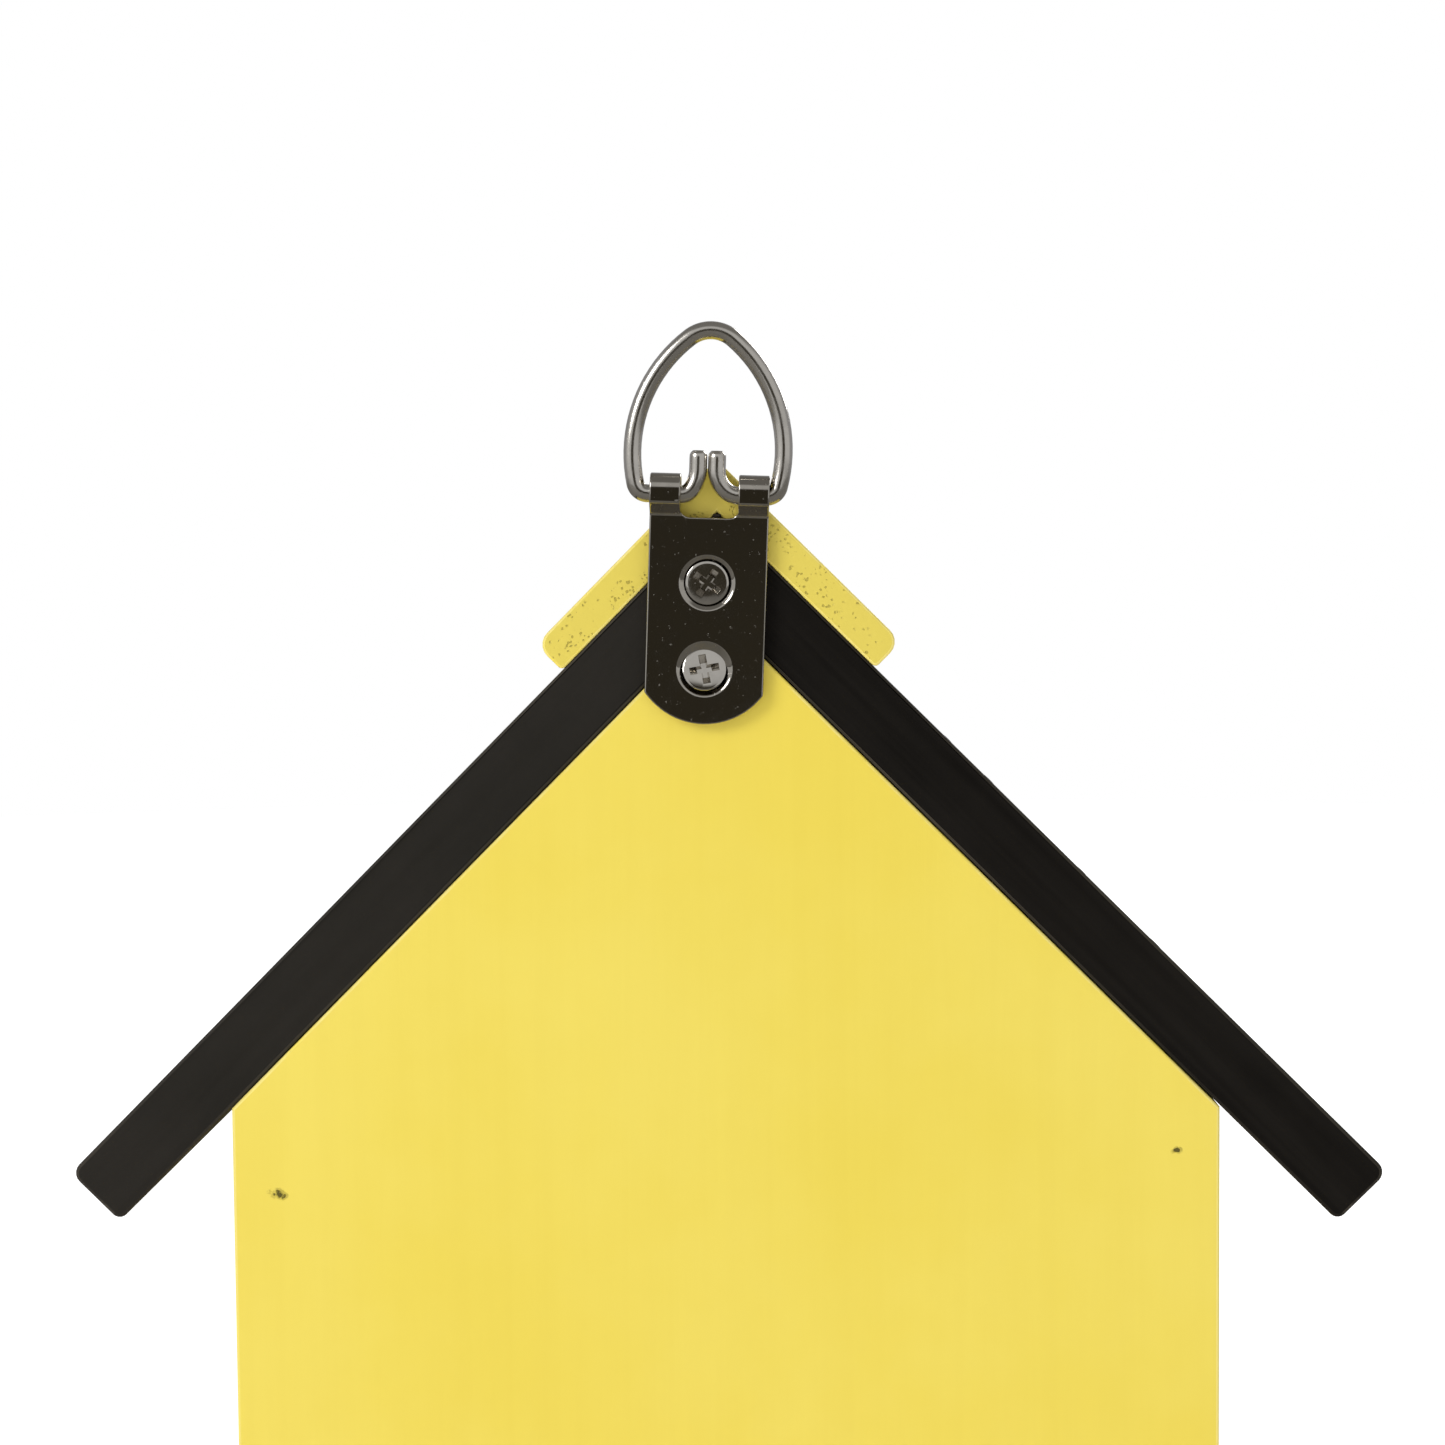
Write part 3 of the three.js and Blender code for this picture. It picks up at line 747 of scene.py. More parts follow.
def roof_corners(node):
    low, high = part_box(node)
    side = math.copysign(1, (low + high).x)
    tip = max(abs(low.x), abs(high.x)) + 0.55 * MM
    rise = board * math.sqrt(0.5)
    apex = roof_apex(node)
    return side, [
        (side * ridge_gap, apex - ridge_gap, 0.08 * MM),
        (side * tip, apex - tip, 1.7 * MM),
        (side * (tip - rise), apex - tip - rise, 1.3 * MM),
        (side * ridge_gap, apex - ridge_gap - board * math.sqrt(2), 0.08 * MM),
    ]


ridge_gap = 0.02 * MM
# The left board takes the black copy painted lighter, the right board the copy painted darker: painted light and
# shade.
for node, material in (("roof_board_left", black_paint_painted_lit), ("roof_board_right", black_paint_painted_shaded)):
    side, corners = roof_corners(node)
    section_piece(f"{node}_painted", node, corners, material, 0.5 * MM)


# %% Ridge cap
cap_leg = 35 * MM
cap_thickness = 5 * MM


def cap_corners():
    crook = roof_apex("roof_board_left")
    nose = crook + cap_thickness * math.sqrt(2)
    leg = cap_leg * math.sqrt(0.5)
    edge = cap_thickness * math.sqrt(0.5)
    return [
        (0, nose, 1.3 * MM),
        (leg, nose - leg, 2.2 * MM),
        (leg - edge, nose - leg - edge, 0.7 * MM),
        (0, crook, 0),
        (edge - leg, nose - leg - edge, 0.7 * MM),
        (-leg, nose - leg, 2.2 * MM),
    ]


section_piece("ridge_cap_moulding", "ridge_cap", cap_corners(), yellow_moulding,
              0.35 * MM)

# %% [markdown]
# ## The strap
# The hanger's strap is one strip of sheet steel with a window in its middle. It is folded double
# round the ring's foot, so the window turns two ears out of it, and two dished holes take the
# screws. Here it is cut flat, divided where it will bend, and then folded by a formula that says
# where each length along the strip ends up. Solidify and Bevel could thicken it, but a bevel is
# held back by the shortest edge it meets, so the rounded rim is built row by row instead.

# %% The hanger's own frame
hinge = next(joint for joint in frame["joints"] if joint["name"] == "ring_fold")
across = -Vector(hinge["axis"])
outward = Vector((0, 1, 0))
along_strap = across.cross(outward)
sheet = 0.8 * MM
wire_radius = 1.2 * MM
loop_radius = wire_radius + 0.15 * MM + sheet
hanger_foot = Vector(hinge["pos_m"]) - outward * loop_radius
hanger_place = (
    Matrix.Translation(hanger_foot) @ Matrix((across, outward, along_strap)).transposed().to_4x4()
)
print("the hanger leans", round(math.degrees(math.asin(across.z)), 2), "degrees")

# %% Strap sizes, measured from the hinge line
strap_half = 8 * MM
strap_foot = -30.8 * MM
strap_shoulder = -26.7 * MM
window_foot = -3 * MM
window_half = 3.87 * MM
loop_rise = 0.65 * MM
bend_foot = -2.9 * MM
bend_top = -1.0 * MM
screw_heights = [-11.75 * MM, -23.35 * MM]
dish_radius = 3.8 * MM
dish_profile = [(3.66, 1.56), (3.52, 1.48), (3.4, 1.38), (2.2, 0.56)]   # radius, reach, in mm
flat_length = bend_foot - strap_foot
bend_length = math.hypot(bend_top - bend_foot, 2 * loop_radius - 2 * sheet) * 1.04
ear_length = loop_rise - bend_top
loop_length = math.pi * loop_radius
strip_length = flat_length + bend_length + ear_length + loop_length + loop_rise - strap_foot
half_way = strip_length / 2
shortest_edge = 0.14 * MM
print("the strip is", round(strip_length / MM, 1), "mm long before it is folded")


# %% Folding the strip
def fold(length):
    """Where a length along the strip ends up: its distance from the house, and its height."""
    if length < flat_length:
        return 2 * sheet, strap_foot + length
    length -= flat_length
    if length < bend_length:
        t = length / bend_length
        ease_in = t * t * (3 - 2 * t)
        reach = 2 * sheet + (2 * loop_radius - 2 * sheet) * ease_in
        return reach, bend_foot + (bend_top - bend_foot) * t
    length -= bend_length
    if length < ear_length:
        return 2 * loop_radius, bend_top + length
    length -= ear_length
    if length < loop_length:
        angle = length / loop_radius
        return (
            loop_radius * (1 + math.cos(angle)), loop_rise + loop_radius * math.sin(angle)
        )
    return 0, loop_rise - (length - loop_length)


def unfold(height):
    """How far along the strip's outer layer a height below the bend lies."""
    return height - strap_foot


# %% The flat strip
def strip_outline():
    drop = strap_shoulder - strap_foot
    foot_radius = (strap_half ** 2 + drop ** 2) / (2 * drop)
    reach = math.asin(strap_half / foot_radius)
    ends = []
    for mirror in (1, -1):
        middle = half_way - mirror * (half_way - foot_radius)
        for k in range(25):
            angle = reach * (2 * k / 24 - 1)
            ends.append(Vector((
                mirror * foot_radius * math.sin(angle),
                middle - mirror * foot_radius * math.cos(angle),
            )))
    return ends


def strip_holes():
    low = unfold(window_foot)
    high = 2 * half_way - low
    window = rounded([
        (-window_half, low, 1.3 * MM), (window_half, low, 1.3 * MM),
        (window_half, high, 1.3 * MM), (-window_half, high, 1.3 * MM),
    ], steps=8)
    outer = [circle(0, unfold(height), dish_radius, 48) for height in screw_heights]
    inner = [
        circle(0, 2 * half_way - unfold(height), dish_radius + 0.3 * MM, 48)
        for height in screw_heights
    ]
    return [window, *outer, *inner]


# %% Cutting, dividing and folding
def flat_sheet(outline, holes):
    """Fills an outline with holes, as one layer of faces that look along Z."""
    shape = bmesh.new()
    edges = []
    for loop in [outline, *holes]:
        corners = [shape.verts.new((p.x, p.y, 0)) for p in loop]
        edges += [shape.edges.new((a, b)) for a, b in zip(corners, corners[1:] + corners[:1])]
    bmesh.ops.triangle_fill(shape, edges=edges, use_beauty=True, use_dissolve=False)
    for face in shape.faces:
        if face.normal.z < 0:
            face.normal_flip()
    return shape


def divide(shape, lengths):
    for length in lengths:
        bmesh.ops.bisect_plane(
            shape, geom=shape.verts[:] + shape.edges[:] + shape.faces[:],
            plane_co=(0, length, 0), plane_no=(0, 1, 0), dist=0.0001 * MM,
        )


def spread(start, length, count):
    return [start + length * k / count for k in range(count + 1)]


# %% Dished holes
def dish(shape, height):
    """Carries a hole's rim inwards and down, as the press does round a screw hole."""
    centre = Vector((0, 2 * sheet, height))
    rim = [
        e for e in shape.edges
        if e.is_boundary and all(
            (v.co - centre).length < dish_radius * 1.02 and v.co.y > 1.5 * sheet for v in e.verts
        )
    ]
    for radius, reach in dish_profile:
        grown = bmesh.ops.extrude_edge_only(shape, edges=rim)["geom"]
        rim = [g for g in grown if isinstance(g, bmesh.types.BMEdge)]
        for corner in {v for e in rim for v in e.verts}:
            away = (corner.co - centre) * Vector((1, 0, 1))
            away = away.normalized() * radius * MM
            corner.co = Vector((away.x, reach * MM, height + away.z))


# %% From a sheet to a plate with rubbed edges
def rim_profile(thickness, corner, steps=3):
    """Rows across the rim, as how far out and how deep each one lies."""
    quarter = [math.radians(90) * k / steps for k in range(steps + 1)]
    rows = [(corner * math.sin(a), corner * (1 - math.cos(a))) for a in quarter]
    return rows + [(out, thickness - deep) for out, deep in reversed(rows)]


def make_plate(shape, thickness, corner):
    """Copies the sheet inwards, and joins the two round every edge with a rounded rim."""
    shape.normal_update()
    rims = [loop for edge in shape.edges if edge.is_boundary for loop in edge.link_loops]
    outwards = {}
    for loop in rims:
        ahead = loop.link_loop_next.vert
        away = (ahead.co - loop.vert.co).cross(loop.face.normal).normalized()
        for vertex in (loop.vert, ahead):
            outwards[vertex] = outwards.get(vertex, Vector()) + away
    rims = [(loop.link_loop_next.vert, loop.vert) for loop in rims]
    front = list(shape.verts)
    front_faces = list(shape.faces)
    inwards = {vertex: -vertex.normal for vertex in front}
    for vertex, away in outwards.items():
        vertex.co -= away.normalized() * corner
    back = {vertex: shape.verts.new(vertex.co + inwards[vertex] * thickness) for vertex in front}
    for face in front_faces:
        shape.faces.new([back[vertex] for vertex in reversed(face.verts)])
    rows = {}
    for vertex, away in outwards.items():
        between = [
            shape.verts.new(vertex.co + away.normalized() * out + inwards[vertex] * deep)
            for out, deep in rim_profile(thickness, corner)[1:-1]
        ]
        rows[vertex] = [vertex, *between, back[vertex]]
    for ahead, behind in rims:
        for k in range(len(rows[ahead]) - 1):
            shape.faces.new((
                rows[ahead][k], rows[behind][k], rows[behind][k + 1], rows[ahead][k + 1]
            ))
    shape.normal_update()


# %% The finished strap
def strap_mesh():
    shape = flat_sheet(strip_outline(), strip_holes())
    bend_end = flat_length + bend_length
    loop_start = bend_end + ear_length
    divide(shape, spread(flat_length, bend_length, 10))
    divide(shape, spread(loop_start, loop_length, 20))
    bmesh.ops.remove_doubles(shape, verts=shape.verts, dist=shortest_edge)
    for corner in shape.verts:
        reach, height = fold(corner.co.y)
        corner.co = Vector((corner.co.x, reach, height))
    for height in screw_heights:
        dish(shape, height)
    bmesh.ops.dissolve_limit(
        shape, angle_limit=math.radians(0.2), verts=shape.verts, edges=shape.edges
    )
    bmesh.ops.recalc_face_normals(shape, faces=shape.faces)
    first = next(f for f in shape.faces if f.calc_center_median().y > 1.9 * sheet)
    if first.normal.y < 0:
        bmesh.ops.reverse_faces(shape, faces=shape.faces)
    make_plate(shape, sheet - 0.04 * MM, 0.2 * MM)
    mesh = bpy.data.meshes.new("strap")
    shape.to_mesh(mesh)
    shape.free()
    mesh.transform(hanger_place)
    return mesh


folded = strap_mesh()
finish_piece("hanger_strap_folded", folded, strap_nickel, "house",
             ["hanger_strap"], smooth_angle=40)
for face in folded.polygons:
    if abs(face.normal.y) > 0.9999:
        face.use_smooth = False

# %% [markdown]
# ## Bent wire
# The ring, the screw eye and the lure's pin are all wire that follows a path. One Geometry Nodes
# tree draws any of them: it gives the path its wire radius, rounds the cut ends, and skins it.
# The path itself is a few straight runs and arcs, worked out from where the arcs must meet.


# %% A tree that skins a path with wire
def wire_tree():
    tree = bpy.data.node_groups.new("wire along a path", "GeometryNodeTree")
    for label, kind in (
        ("Path", "NodeSocketGeometry"), ("Wire Radius", "NodeSocketFloat"),
        ("End Rounding", "NodeSocketFloat"), ("Sides", "NodeSocketInt"),
        ("Material", "NodeSocketMaterial"),
    ):
        tree.interface.new_socket(label, in_out="INPUT", socket_type=kind)
    tree.interface.new_socket("Wire", in_out="OUTPUT", socket_type="NodeSocketGeometry")
    start = tree.nodes.new("NodeGroupInput").outputs
    end = tree.nodes.new("NodeGroupOutput").inputs

    along = add_node(tree, "GeometryNodeSplineParameter")
    whole = add_node(tree, "GeometryNodeSplineLength")
    left_over = calculate(tree, "SUBTRACT", whole.outputs["Length"], along.outputs["Length"])
    from_end = calculate(tree, "MINIMUM", along.outputs["Length"], left_over)
    share = calculate(tree, "DIVIDE", from_end, start["End Rounding"])
    share = calculate(tree, "MINIMUM", share, 1.0)
    missing = calculate(tree, "SUBTRACT", 1.0, share)
    narrower = calculate(tree, "MULTIPLY", calculate(tree, "POWER", missing, 2.0), 0.35)
    kept = calculate(tree, "SUBTRACT", 1.0, narrower)
    radius = calculate(tree, "MULTIPLY", start["Wire Radius"], kept)
    sized = add_node(
        tree, "GeometryNodeSetCurveRadius", {"Curve": start["Path"], "Radius": radius}
    )
    section = add_node(tree, "GeometryNodeCurvePrimitiveCircle", {"Resolution": start["Sides"],
                                                                  "Radius": 1.0})
    skin = add_node(
        tree, "GeometryNodeCurveToMesh",
        {"Curve": sized.outputs["Curve"], "Profile Curve": section.outputs["Curve"],
         "Fill Caps": True},
    )
    tree.links.new(radius, skin.inputs["Scale"])
    real = add_node(tree, "GeometryNodeRealizeInstances", {"Geometry": skin.outputs["Mesh"]})
    painted = add_node(
        tree, "GeometryNodeSetMaterial", {"Geometry": real.outputs["Geometry"],
                                          "Material": start["Material"]}
    )
    tree.links.new(painted.outputs["Geometry"], end["Wire"])
    return tree


wire_nodes = wire_tree()
print("wire tree:", len(wire_nodes.nodes), "nodes")


# %% Running a tree
def socket_id(tree, label):
    return next(
        item.identifier for item in tree.interface.items_tree
        if item.item_type == "SOCKET" and item.in_out == "INPUT" and item.name == label
    )


def run_nodes(data, tree, values):
    """Runs a geometry tree on some data and returns the plain mesh that comes out."""
    holder = bpy.data.objects.new("tree input", data)
    bpy.context.scene.collection.objects.link(holder)
    nodes = holder.modifiers.new("nodes", "NODES")
    nodes.node_group = tree
    for label, value in values.items():
        nodes[socket_id(tree, label)] = value
    graph = bpy.context.evaluated_depsgraph_get()
    mesh = bpy.data.meshes.new_from_object(holder.evaluated_get(graph))
    bpy.data.objects.remove(holder)
    return mesh


def path_curve(points, place=Matrix.Identity(4)):
    curve = bpy.data.curves.new("wire path", "CURVE")
    curve.dimensions = "3D"
    spline = curve.splines.new("POLY")
    spline.points.add(len(points) - 1)
    for point, position in zip(spline.points, points):
        point.co = (*(place @ Vector(position)), 1)
    return curve


def arc(centre, radius, first, last, count, squeeze=1.0):
    """Points on an arc in X and Z, from one angle in radians to another."""
    return [
        (centre[0] + radius * squeeze * math.cos(first + (last - first) * k / count),
         centre[1] + radius * math.sin(first + (last - first) * k / count))
        for k in range(count + 1)
    ]


def bend_wire(name, points, radius, material, body, replaces, place=Matrix.Identity(4)):
    mesh = run_nodes(path_curve(points, place), wire_nodes, {
        "Wire Radius": radius, "End Rounding": radius * 0.6, "Sides": 24, "Material": material,
    })
    weld(mesh, 0.001 * MM)
    return finish_piece(name, mesh, material, body, replaces, smooth_angle=50)


# %% The D-ring
def ring_side(curl_width):
    """Half the ring, from its inner end to the top, in millimetres across and up."""
    top, apex_radius, apex_turn, side_turn, corner_radius = 21.9, 4.6, 0.68, 1.8, 1.7
    end_spread, end_top, curl_height = 1.25, 5.9, 3.4
    side_top = top - apex_radius * (1 - math.cos(apex_turn))
    side_foot = corner_radius * (1 + math.cos(side_turn))
    side_radius = (side_top - side_foot) / (math.cos(apex_turn) - math.cos(side_turn))
    side_centre = (
        (apex_radius - side_radius) * math.sin(apex_turn),
        top - apex_radius + (apex_radius - side_radius) * math.cos(apex_turn),
    )
    corner_x = side_centre[0] + (side_radius - corner_radius) * math.sin(side_turn)
    upright_angle = math.pi / 2
    points = [(end_spread, end_top - drop) for drop in (0, 0.12, 0.3, 0.55, 0.9, 1.4, 1.9)]
    points += arc((end_spread + curl_width, curl_height), curl_height, math.pi,
                  1.5 * math.pi, 16, squeeze=curl_width / curl_height)
    points += [(end_spread + curl_width + (corner_x - end_spread - curl_width) * k / 6, 0)
               for k in range(1, 6)]
    points += arc((corner_x, corner_radius), corner_radius, -upright_angle,
                  upright_angle - side_turn, 14)
    points += arc(side_centre, side_radius, upright_angle - side_turn,
                  upright_angle - apex_turn, 20)[1:]
    points += arc((0, top - apex_radius), apex_radius, upright_angle - apex_turn,
                  upright_angle, 12)[1:]
    return points


tight_side = ring_side(curl_width=2.05)
wide_side = ring_side(curl_width=3.1)
slid = 0.4          # the ring sits a little to one side in its ears, clear of the strap
ring_points = [
    Vector((x + slid, loop_radius / MM, z)) * MM
    for x, z in tight_side + [(-x, z) for x, z in reversed(wide_side[:-1])]
]
bend_wire("hanger_ring", ring_points, wire_radius, wire_nickel, "ring",
          ["d_ring"], hanger_place)

# %% [markdown]
# ## Round pieces
# Screw heads, the knob and the lure are all turned: a profile of radius and height is spun round
# an axis. Points are welded where the profile meets the axis, so no pole stays open.


# %% A small lathe
def turned(profile, count=48):
    """Spins (radius, height) points in millimetres round Z, from the foot to the top."""
    shape = bmesh.new()
    rings = []
    for radius, height in profile:
        if radius == 0:
            rings.append([shape.verts.new((0, 0, height * MM))])
            continue
        rings.append([
            shape.verts.new((
                radius * MM * math.cos(2 * math.pi * k / count),
                radius * MM * math.sin(2 * math.pi * k / count), height * MM,
            )) for k in range(count)
        ])
    for lower, upper in zip(rings, rings[1:]):
        for k in range(count):
            after = (k + 1) % count
            corners = [lower[k % len(lower)], lower[after % len(lower)],
                       upper[after % len(upper)], upper[k % len(upper)]]
            distinct = list(dict.fromkeys(corners))
            if len(distinct) > 2:
                shape.faces.new(distinct)
    bmesh.ops.recalc_face_normals(shape, faces=shape.faces)
    mesh = bpy.data.meshes.new("turned")
    shape.to_mesh(mesh)
    shape.free()
    return mesh


def aim(mesh, place, direction, turn=0.0):
    """Puts a mesh made along Z at a place, pointing in a direction."""
    facing = direction.to_track_quat("Z", "Y").to_matrix().to_4x4()
    mesh.transform(Matrix.Translation(place) @ facing @ Matrix.Rotation(turn, 4, "Z"))
    return mesh


# %% [markdown]
# ## Screws
# Two cross-head screws hold the strap. One tree cuts the tapered cross out of a turned blank and
# sets a copy at each seat, with its own turn and tilt, since no two screws stop at the same angle.


# %% Cross cutter
def cross_cutter():
    """A cross that narrows as it goes down, in millimetres from the head's rim."""
    shape = bmesh.new()
    rings = []
    for height, long, wide in ((-1.0, 1.0, 0.30), (0.15, 2.0, 0.50), (0.6, 2.15, 0.56)):
        quarter = [(long, -wide), (long, wide), (wide, wide)]
        ring = []
        for k in range(4):
            turn = Matrix.Rotation(k * math.pi / 2, 2)
            ring += [shape.verts.new((*(turn @ Vector(p)) * MM, height * MM)) for p in quarter]
        rings.append(ring)
    for lower, upper in zip(rings, rings[1:]):
        for k in range(len(lower)):
            after = (k + 1) % len(lower)
            shape.faces.new((lower[k], lower[after], upper[after], upper[k]))
    shape.faces.new(reversed(rings[0]))
    shape.faces.new(rings[-1])
    bmesh.ops.recalc_face_normals(shape, faces=shape.faces)
    mesh = bpy.data.meshes.new("cross cutter")
    shape.to_mesh(mesh)
    shape.free()
    return mesh


# %% Tree that cuts the cross and seats the screws
def screw_tree():
    tree = bpy.data.node_groups.new("seated screws", "GeometryNodeTree")
    for label, kind in (
        ("Seats", "NodeSocketGeometry"), ("Blank", "NodeSocketObject"),
        ("Cutter", "NodeSocketObject"), ("Material", "NodeSocketMaterial"),
    ):
        tree.interface.new_socket(label, in_out="INPUT", socket_type=kind)
    tree.interface.new_socket("Screws", in_out="OUTPUT", socket_type="NodeSocketGeometry")
    start = tree.nodes.new("NodeGroupInput").outputs
    end = tree.nodes.new("NodeGroupOutput").inputs
    blank = add_node(tree, "GeometryNodeObjectInfo", {"Object": start["Blank"]})
    cutter = add_node(tree, "GeometryNodeObjectInfo", {"Object": start["Cutter"]})
    head = add_node(tree, "GeometryNodeMeshBoolean", operation="DIFFERENCE", solver="EXACT")
    tree.links.new(blank.outputs["Geometry"], head.inputs["Mesh 1"])
    tree.links.new(cutter.outputs["Geometry"], head.inputs["Mesh 2"])
    turn = add_node(tree, "GeometryNodeInputNamedAttribute", {"Name": "turn"},
                    data_type="FLOAT_VECTOR")
    seated = add_node(
        tree, "GeometryNodeInstanceOnPoints",
        {"Points": start["Seats"], "Instance": head.outputs["Mesh"],
         "Rotation": turn.outputs["Attribute"]},
    )
    real = add_node(
        tree, "GeometryNodeRealizeInstances", {"Geometry": seated.outputs["Instances"]}
    )
    painted = add_node(
        tree, "GeometryNodeSetMaterial",
        {"Geometry": real.outputs["Geometry"], "Material": start["Material"]},
    )
    tree.links.new(painted.outputs["Geometry"], end["Screws"])
    return tree


# %% The two screws
def tool_object(name, mesh):
    """An object that a tree borrows its mesh from, and that is removed afterwards."""
    tool = bpy.data.objects.new(name, mesh)
    bpy.context.scene.collection.objects.link(tool)
    return tool


def seat_points(places, turns):
    mesh = bpy.data.meshes.new("seats")
    mesh.from_pydata(places, [], [])
    turn = mesh.attributes.new("turn", "FLOAT_VECTOR", "POINT")
    for item, value in zip(turn.data, turns):
        item.vector = value
    return mesh


head_profile = [
    (0, -8), (0.5, -7.4), (1.3, -6), (1.45, -5), (1.45, -0.95), (2.9, -0.06), (2.95, 0.0),
    (2.9, 0.08), (2.75, 0.14), (2.55, 0.17), (1.4, 0.2), (0, 0.21),
]
blank = tool_object("screw blank", turned(head_profile, 64))
cutter = tool_object("cross cutter", cross_cutter())
head_rim = 1.3 * MM
spins = [0.62, -0.17]
tilts = [Vector((0.02, 1, -0.01)), Vector((-0.03, 1, 0.23))]
seats = []
turns = []
for height, spin, tilt in zip(screw_heights, spins, tilts):
    seats.append(hanger_place @ Vector((0, head_rim, height)))
    leaning = (hanger_place.to_3x3() @ tilt).to_track_quat("Z", "Y")
    turns.append((leaning.to_matrix() @ Matrix.Rotation(-spin, 3, "Z")).to_euler())
screws = run_nodes(seat_points(seats, turns), screw_tree(), {
    "Blank": blank, "Cutter": cutter, "Material": screw_nickel,
})
for tool in (blank, cutter):
    bpy.data.objects.remove(tool)
finish_piece("hanger_screws", screws, screw_nickel, "house",
             ["hanger_screw_upper", "hanger_screw_lower"], smooth_angle=30)

# %% [markdown]
# ## Filled brad holes
# The boards are held by brads, punched below the surface and filled before painting. A filled
# hole is a low dome of filler under the paint, a little wider than the brad. They repeat all
# over the house, so a tree sets one small dome at every brad.


# %% Where each brad meets its board
def brad_direction(node):
    slope = math.sqrt(0.5)
    side = 1 if "_left" in node else -1
    if "_back_" in node:
        return Vector((0, 1, 0))
    if "_front_" in node and "roof" not in node and "cap" not in node:
        return Vector((0, -1, 0))
    if "_floor_" in node:
        return Vector((side, 0, 0))
    return Vector((side * slope, 0, slope))


def brad_mouth(node):
    """The middle of the brad hole's mouth, worked out from the brad's own box."""
    brad_radius = 0.7 * MM
    sunk = 0.5 * MM
    low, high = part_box(node)
    centre = (low + high) / 2
    direction = brad_direction(node)
    for i, part in enumerate(direction):
        if abs(part) > 0.1:
            reach = high[i] if part > 0 else low[i]
            centre[i] = reach - math.copysign(brad_radius * math.sqrt(1 - part * part), part)
    return centre + direction * sunk, direction


# %% Tree that sets a dome at each brad
def filler_tree():
    tree = bpy.data.node_groups.new("filled brad holes", "GeometryNodeTree")
    for label, kind in (
        ("Mouths", "NodeSocketGeometry"), ("Dome Radius", "NodeSocketFloat"),
        ("Rise", "NodeSocketFloat"), ("Material", "NodeSocketMaterial"),
    ):
        tree.interface.new_socket(label, in_out="INPUT", socket_type=kind)
    tree.interface.new_socket("Domes", in_out="OUTPUT", socket_type="NodeSocketGeometry")
    start = tree.nodes.new("NodeGroupInput").outputs
    end = tree.nodes.new("NodeGroupOutput").inputs
    ball = add_node(
        tree, "GeometryNodeMeshUVSphere",
        {"Segments": 18, "Rings": 10, "Radius": start["Dome Radius"]},
    )
    flat = add_node(tree, "ShaderNodeCombineXYZ", {"X": 1.0, "Y": 1.0})
    tree.links.new(
        calculate(tree, "DIVIDE", start["Rise"], start["Dome Radius"]), flat.inputs["Z"]
    )
    turn = add_node(tree, "GeometryNodeInputNamedAttribute", {"Name": "turn"},
                    data_type="FLOAT_VECTOR")
    placed = add_node(
        tree, "GeometryNodeInstanceOnPoints",
        {"Points": start["Mouths"], "Instance": ball.outputs["Mesh"],
         "Rotation": turn.outputs["Attribute"], "Scale": flat.outputs["Vector"]},
    )
    real = add_node(
        tree, "GeometryNodeRealizeInstances", {"Geometry": placed.outputs["Instances"]}
    )
    painted = add_node(
        tree, "GeometryNodeSetMaterial",
        {"Geometry": real.outputs["Geometry"], "Material": start["Material"]},
    )
    tree.links.new(painted.outputs["Geometry"], end["Domes"])
    return tree


# %% Setting the domes
filler_nodes = filler_tree()
torn_brads = ["brad_back_left_top", "brad_back_right_top"]
filled_brads = [n for n in frame["nodes"] if n.startswith("brad_") and n not in torn_brads]


def fill_brads(name, nodes, material):
    mouths = [brad_mouth(node) for node in nodes]
    turns = [direction.to_track_quat("Z", "Y").to_euler() for place, direction in mouths]
    mesh = run_nodes(seat_points([place for place, direction in mouths], turns), filler_nodes, {
        "Dome Radius": 0.95 * MM, "Rise": 0.07 * MM, "Material": material,
    })
    return finish_piece(name, mesh, material, "house", nodes)


fill_brads("brad_fillers_yellow", [n for n in filled_brads if "roof" not in n], yellow_upright)
# The roof fillers take the black copy that is painted lighter, as painted light.
fill_brads("brad_fillers_black", [n for n in filled_brads if "roof" in n], black_paint_painted_lit)
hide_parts(*torn_brads)

# %% [markdown]
# ## The tray
# The tray pulls out at the front. Its front is a yellow board with a turned knob, and its base
# and two rails are bare plywood. The card lies between the rails.

# %% Tray boards
front_centre, front_size = centre_of("tray_front")
front_outline = [
    Vector((sx * front_size.x / 2, front_centre.z + sz * front_size.z / 2))
    for sx, sz in ((-1, -1), (1, -1), (1, 1), (-1, 1))
]
finish_piece(
    "tray_front_board",
    cut_board(front_outline, front_size.y, ease, upright, Vector((0, front_centre.y, 0))),
    yellow_crosswise, "tray", ["tray_front"],
)
for node in ("tray_base", "tray_rail_left", "tray_rail_right"):
    plain_board(node, plywood, "tray", 0.25 * MM)
plain_board("sticky_card", card_finish, "tray", 0.08 * MM)


# %% The knob and its screw
knob_low, knob_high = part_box("tray_knob")
knob_profile = [
    (0, 0), (5.2, 0), (5.4, 0.15), (5.4, 0.6), (4.9, 1.2), (4.5, 2.0), (4.3, 2.9), (4.35, 3.9),
    (4.7, 4.9), (5.3, 5.7), (6.3, 6.4), (7.2, 7.1), (7.8, 8.1), (8.0, 9.3), (7.8, 10.6),
    (7.2, 11.8), (6.2, 12.75), (4.9, 13.4), (4.5, 13.42), (4.35, 13.52), (3.2, 13.8),
    (1.7, 13.96), (0, 14.0),
]
knob_mesh = aim(turned(knob_profile, 72), Vector((0, knob_high.y, (knob_low.z + knob_high.z) / 2)),
                Vector((0, -1, 0)))
# The knob takes the black copy that is painted darker, as painted shade.
finish_piece("tray_knob_turned", knob_mesh, black_paint_painted_shaded, "tray", ["tray_knob"])
knob_screw = frame["nodes"]["tray_knob_screw"]
knob_screw.data.materials.clear()
knob_screw.data.materials.append(brad_steel)


# %% [markdown]
# ## Glue on the card
# The glue is rolled on and stands in beads. Beads are scattered over the card's top by a tree
# with a fixed seed, each a squashed drop of its own size.


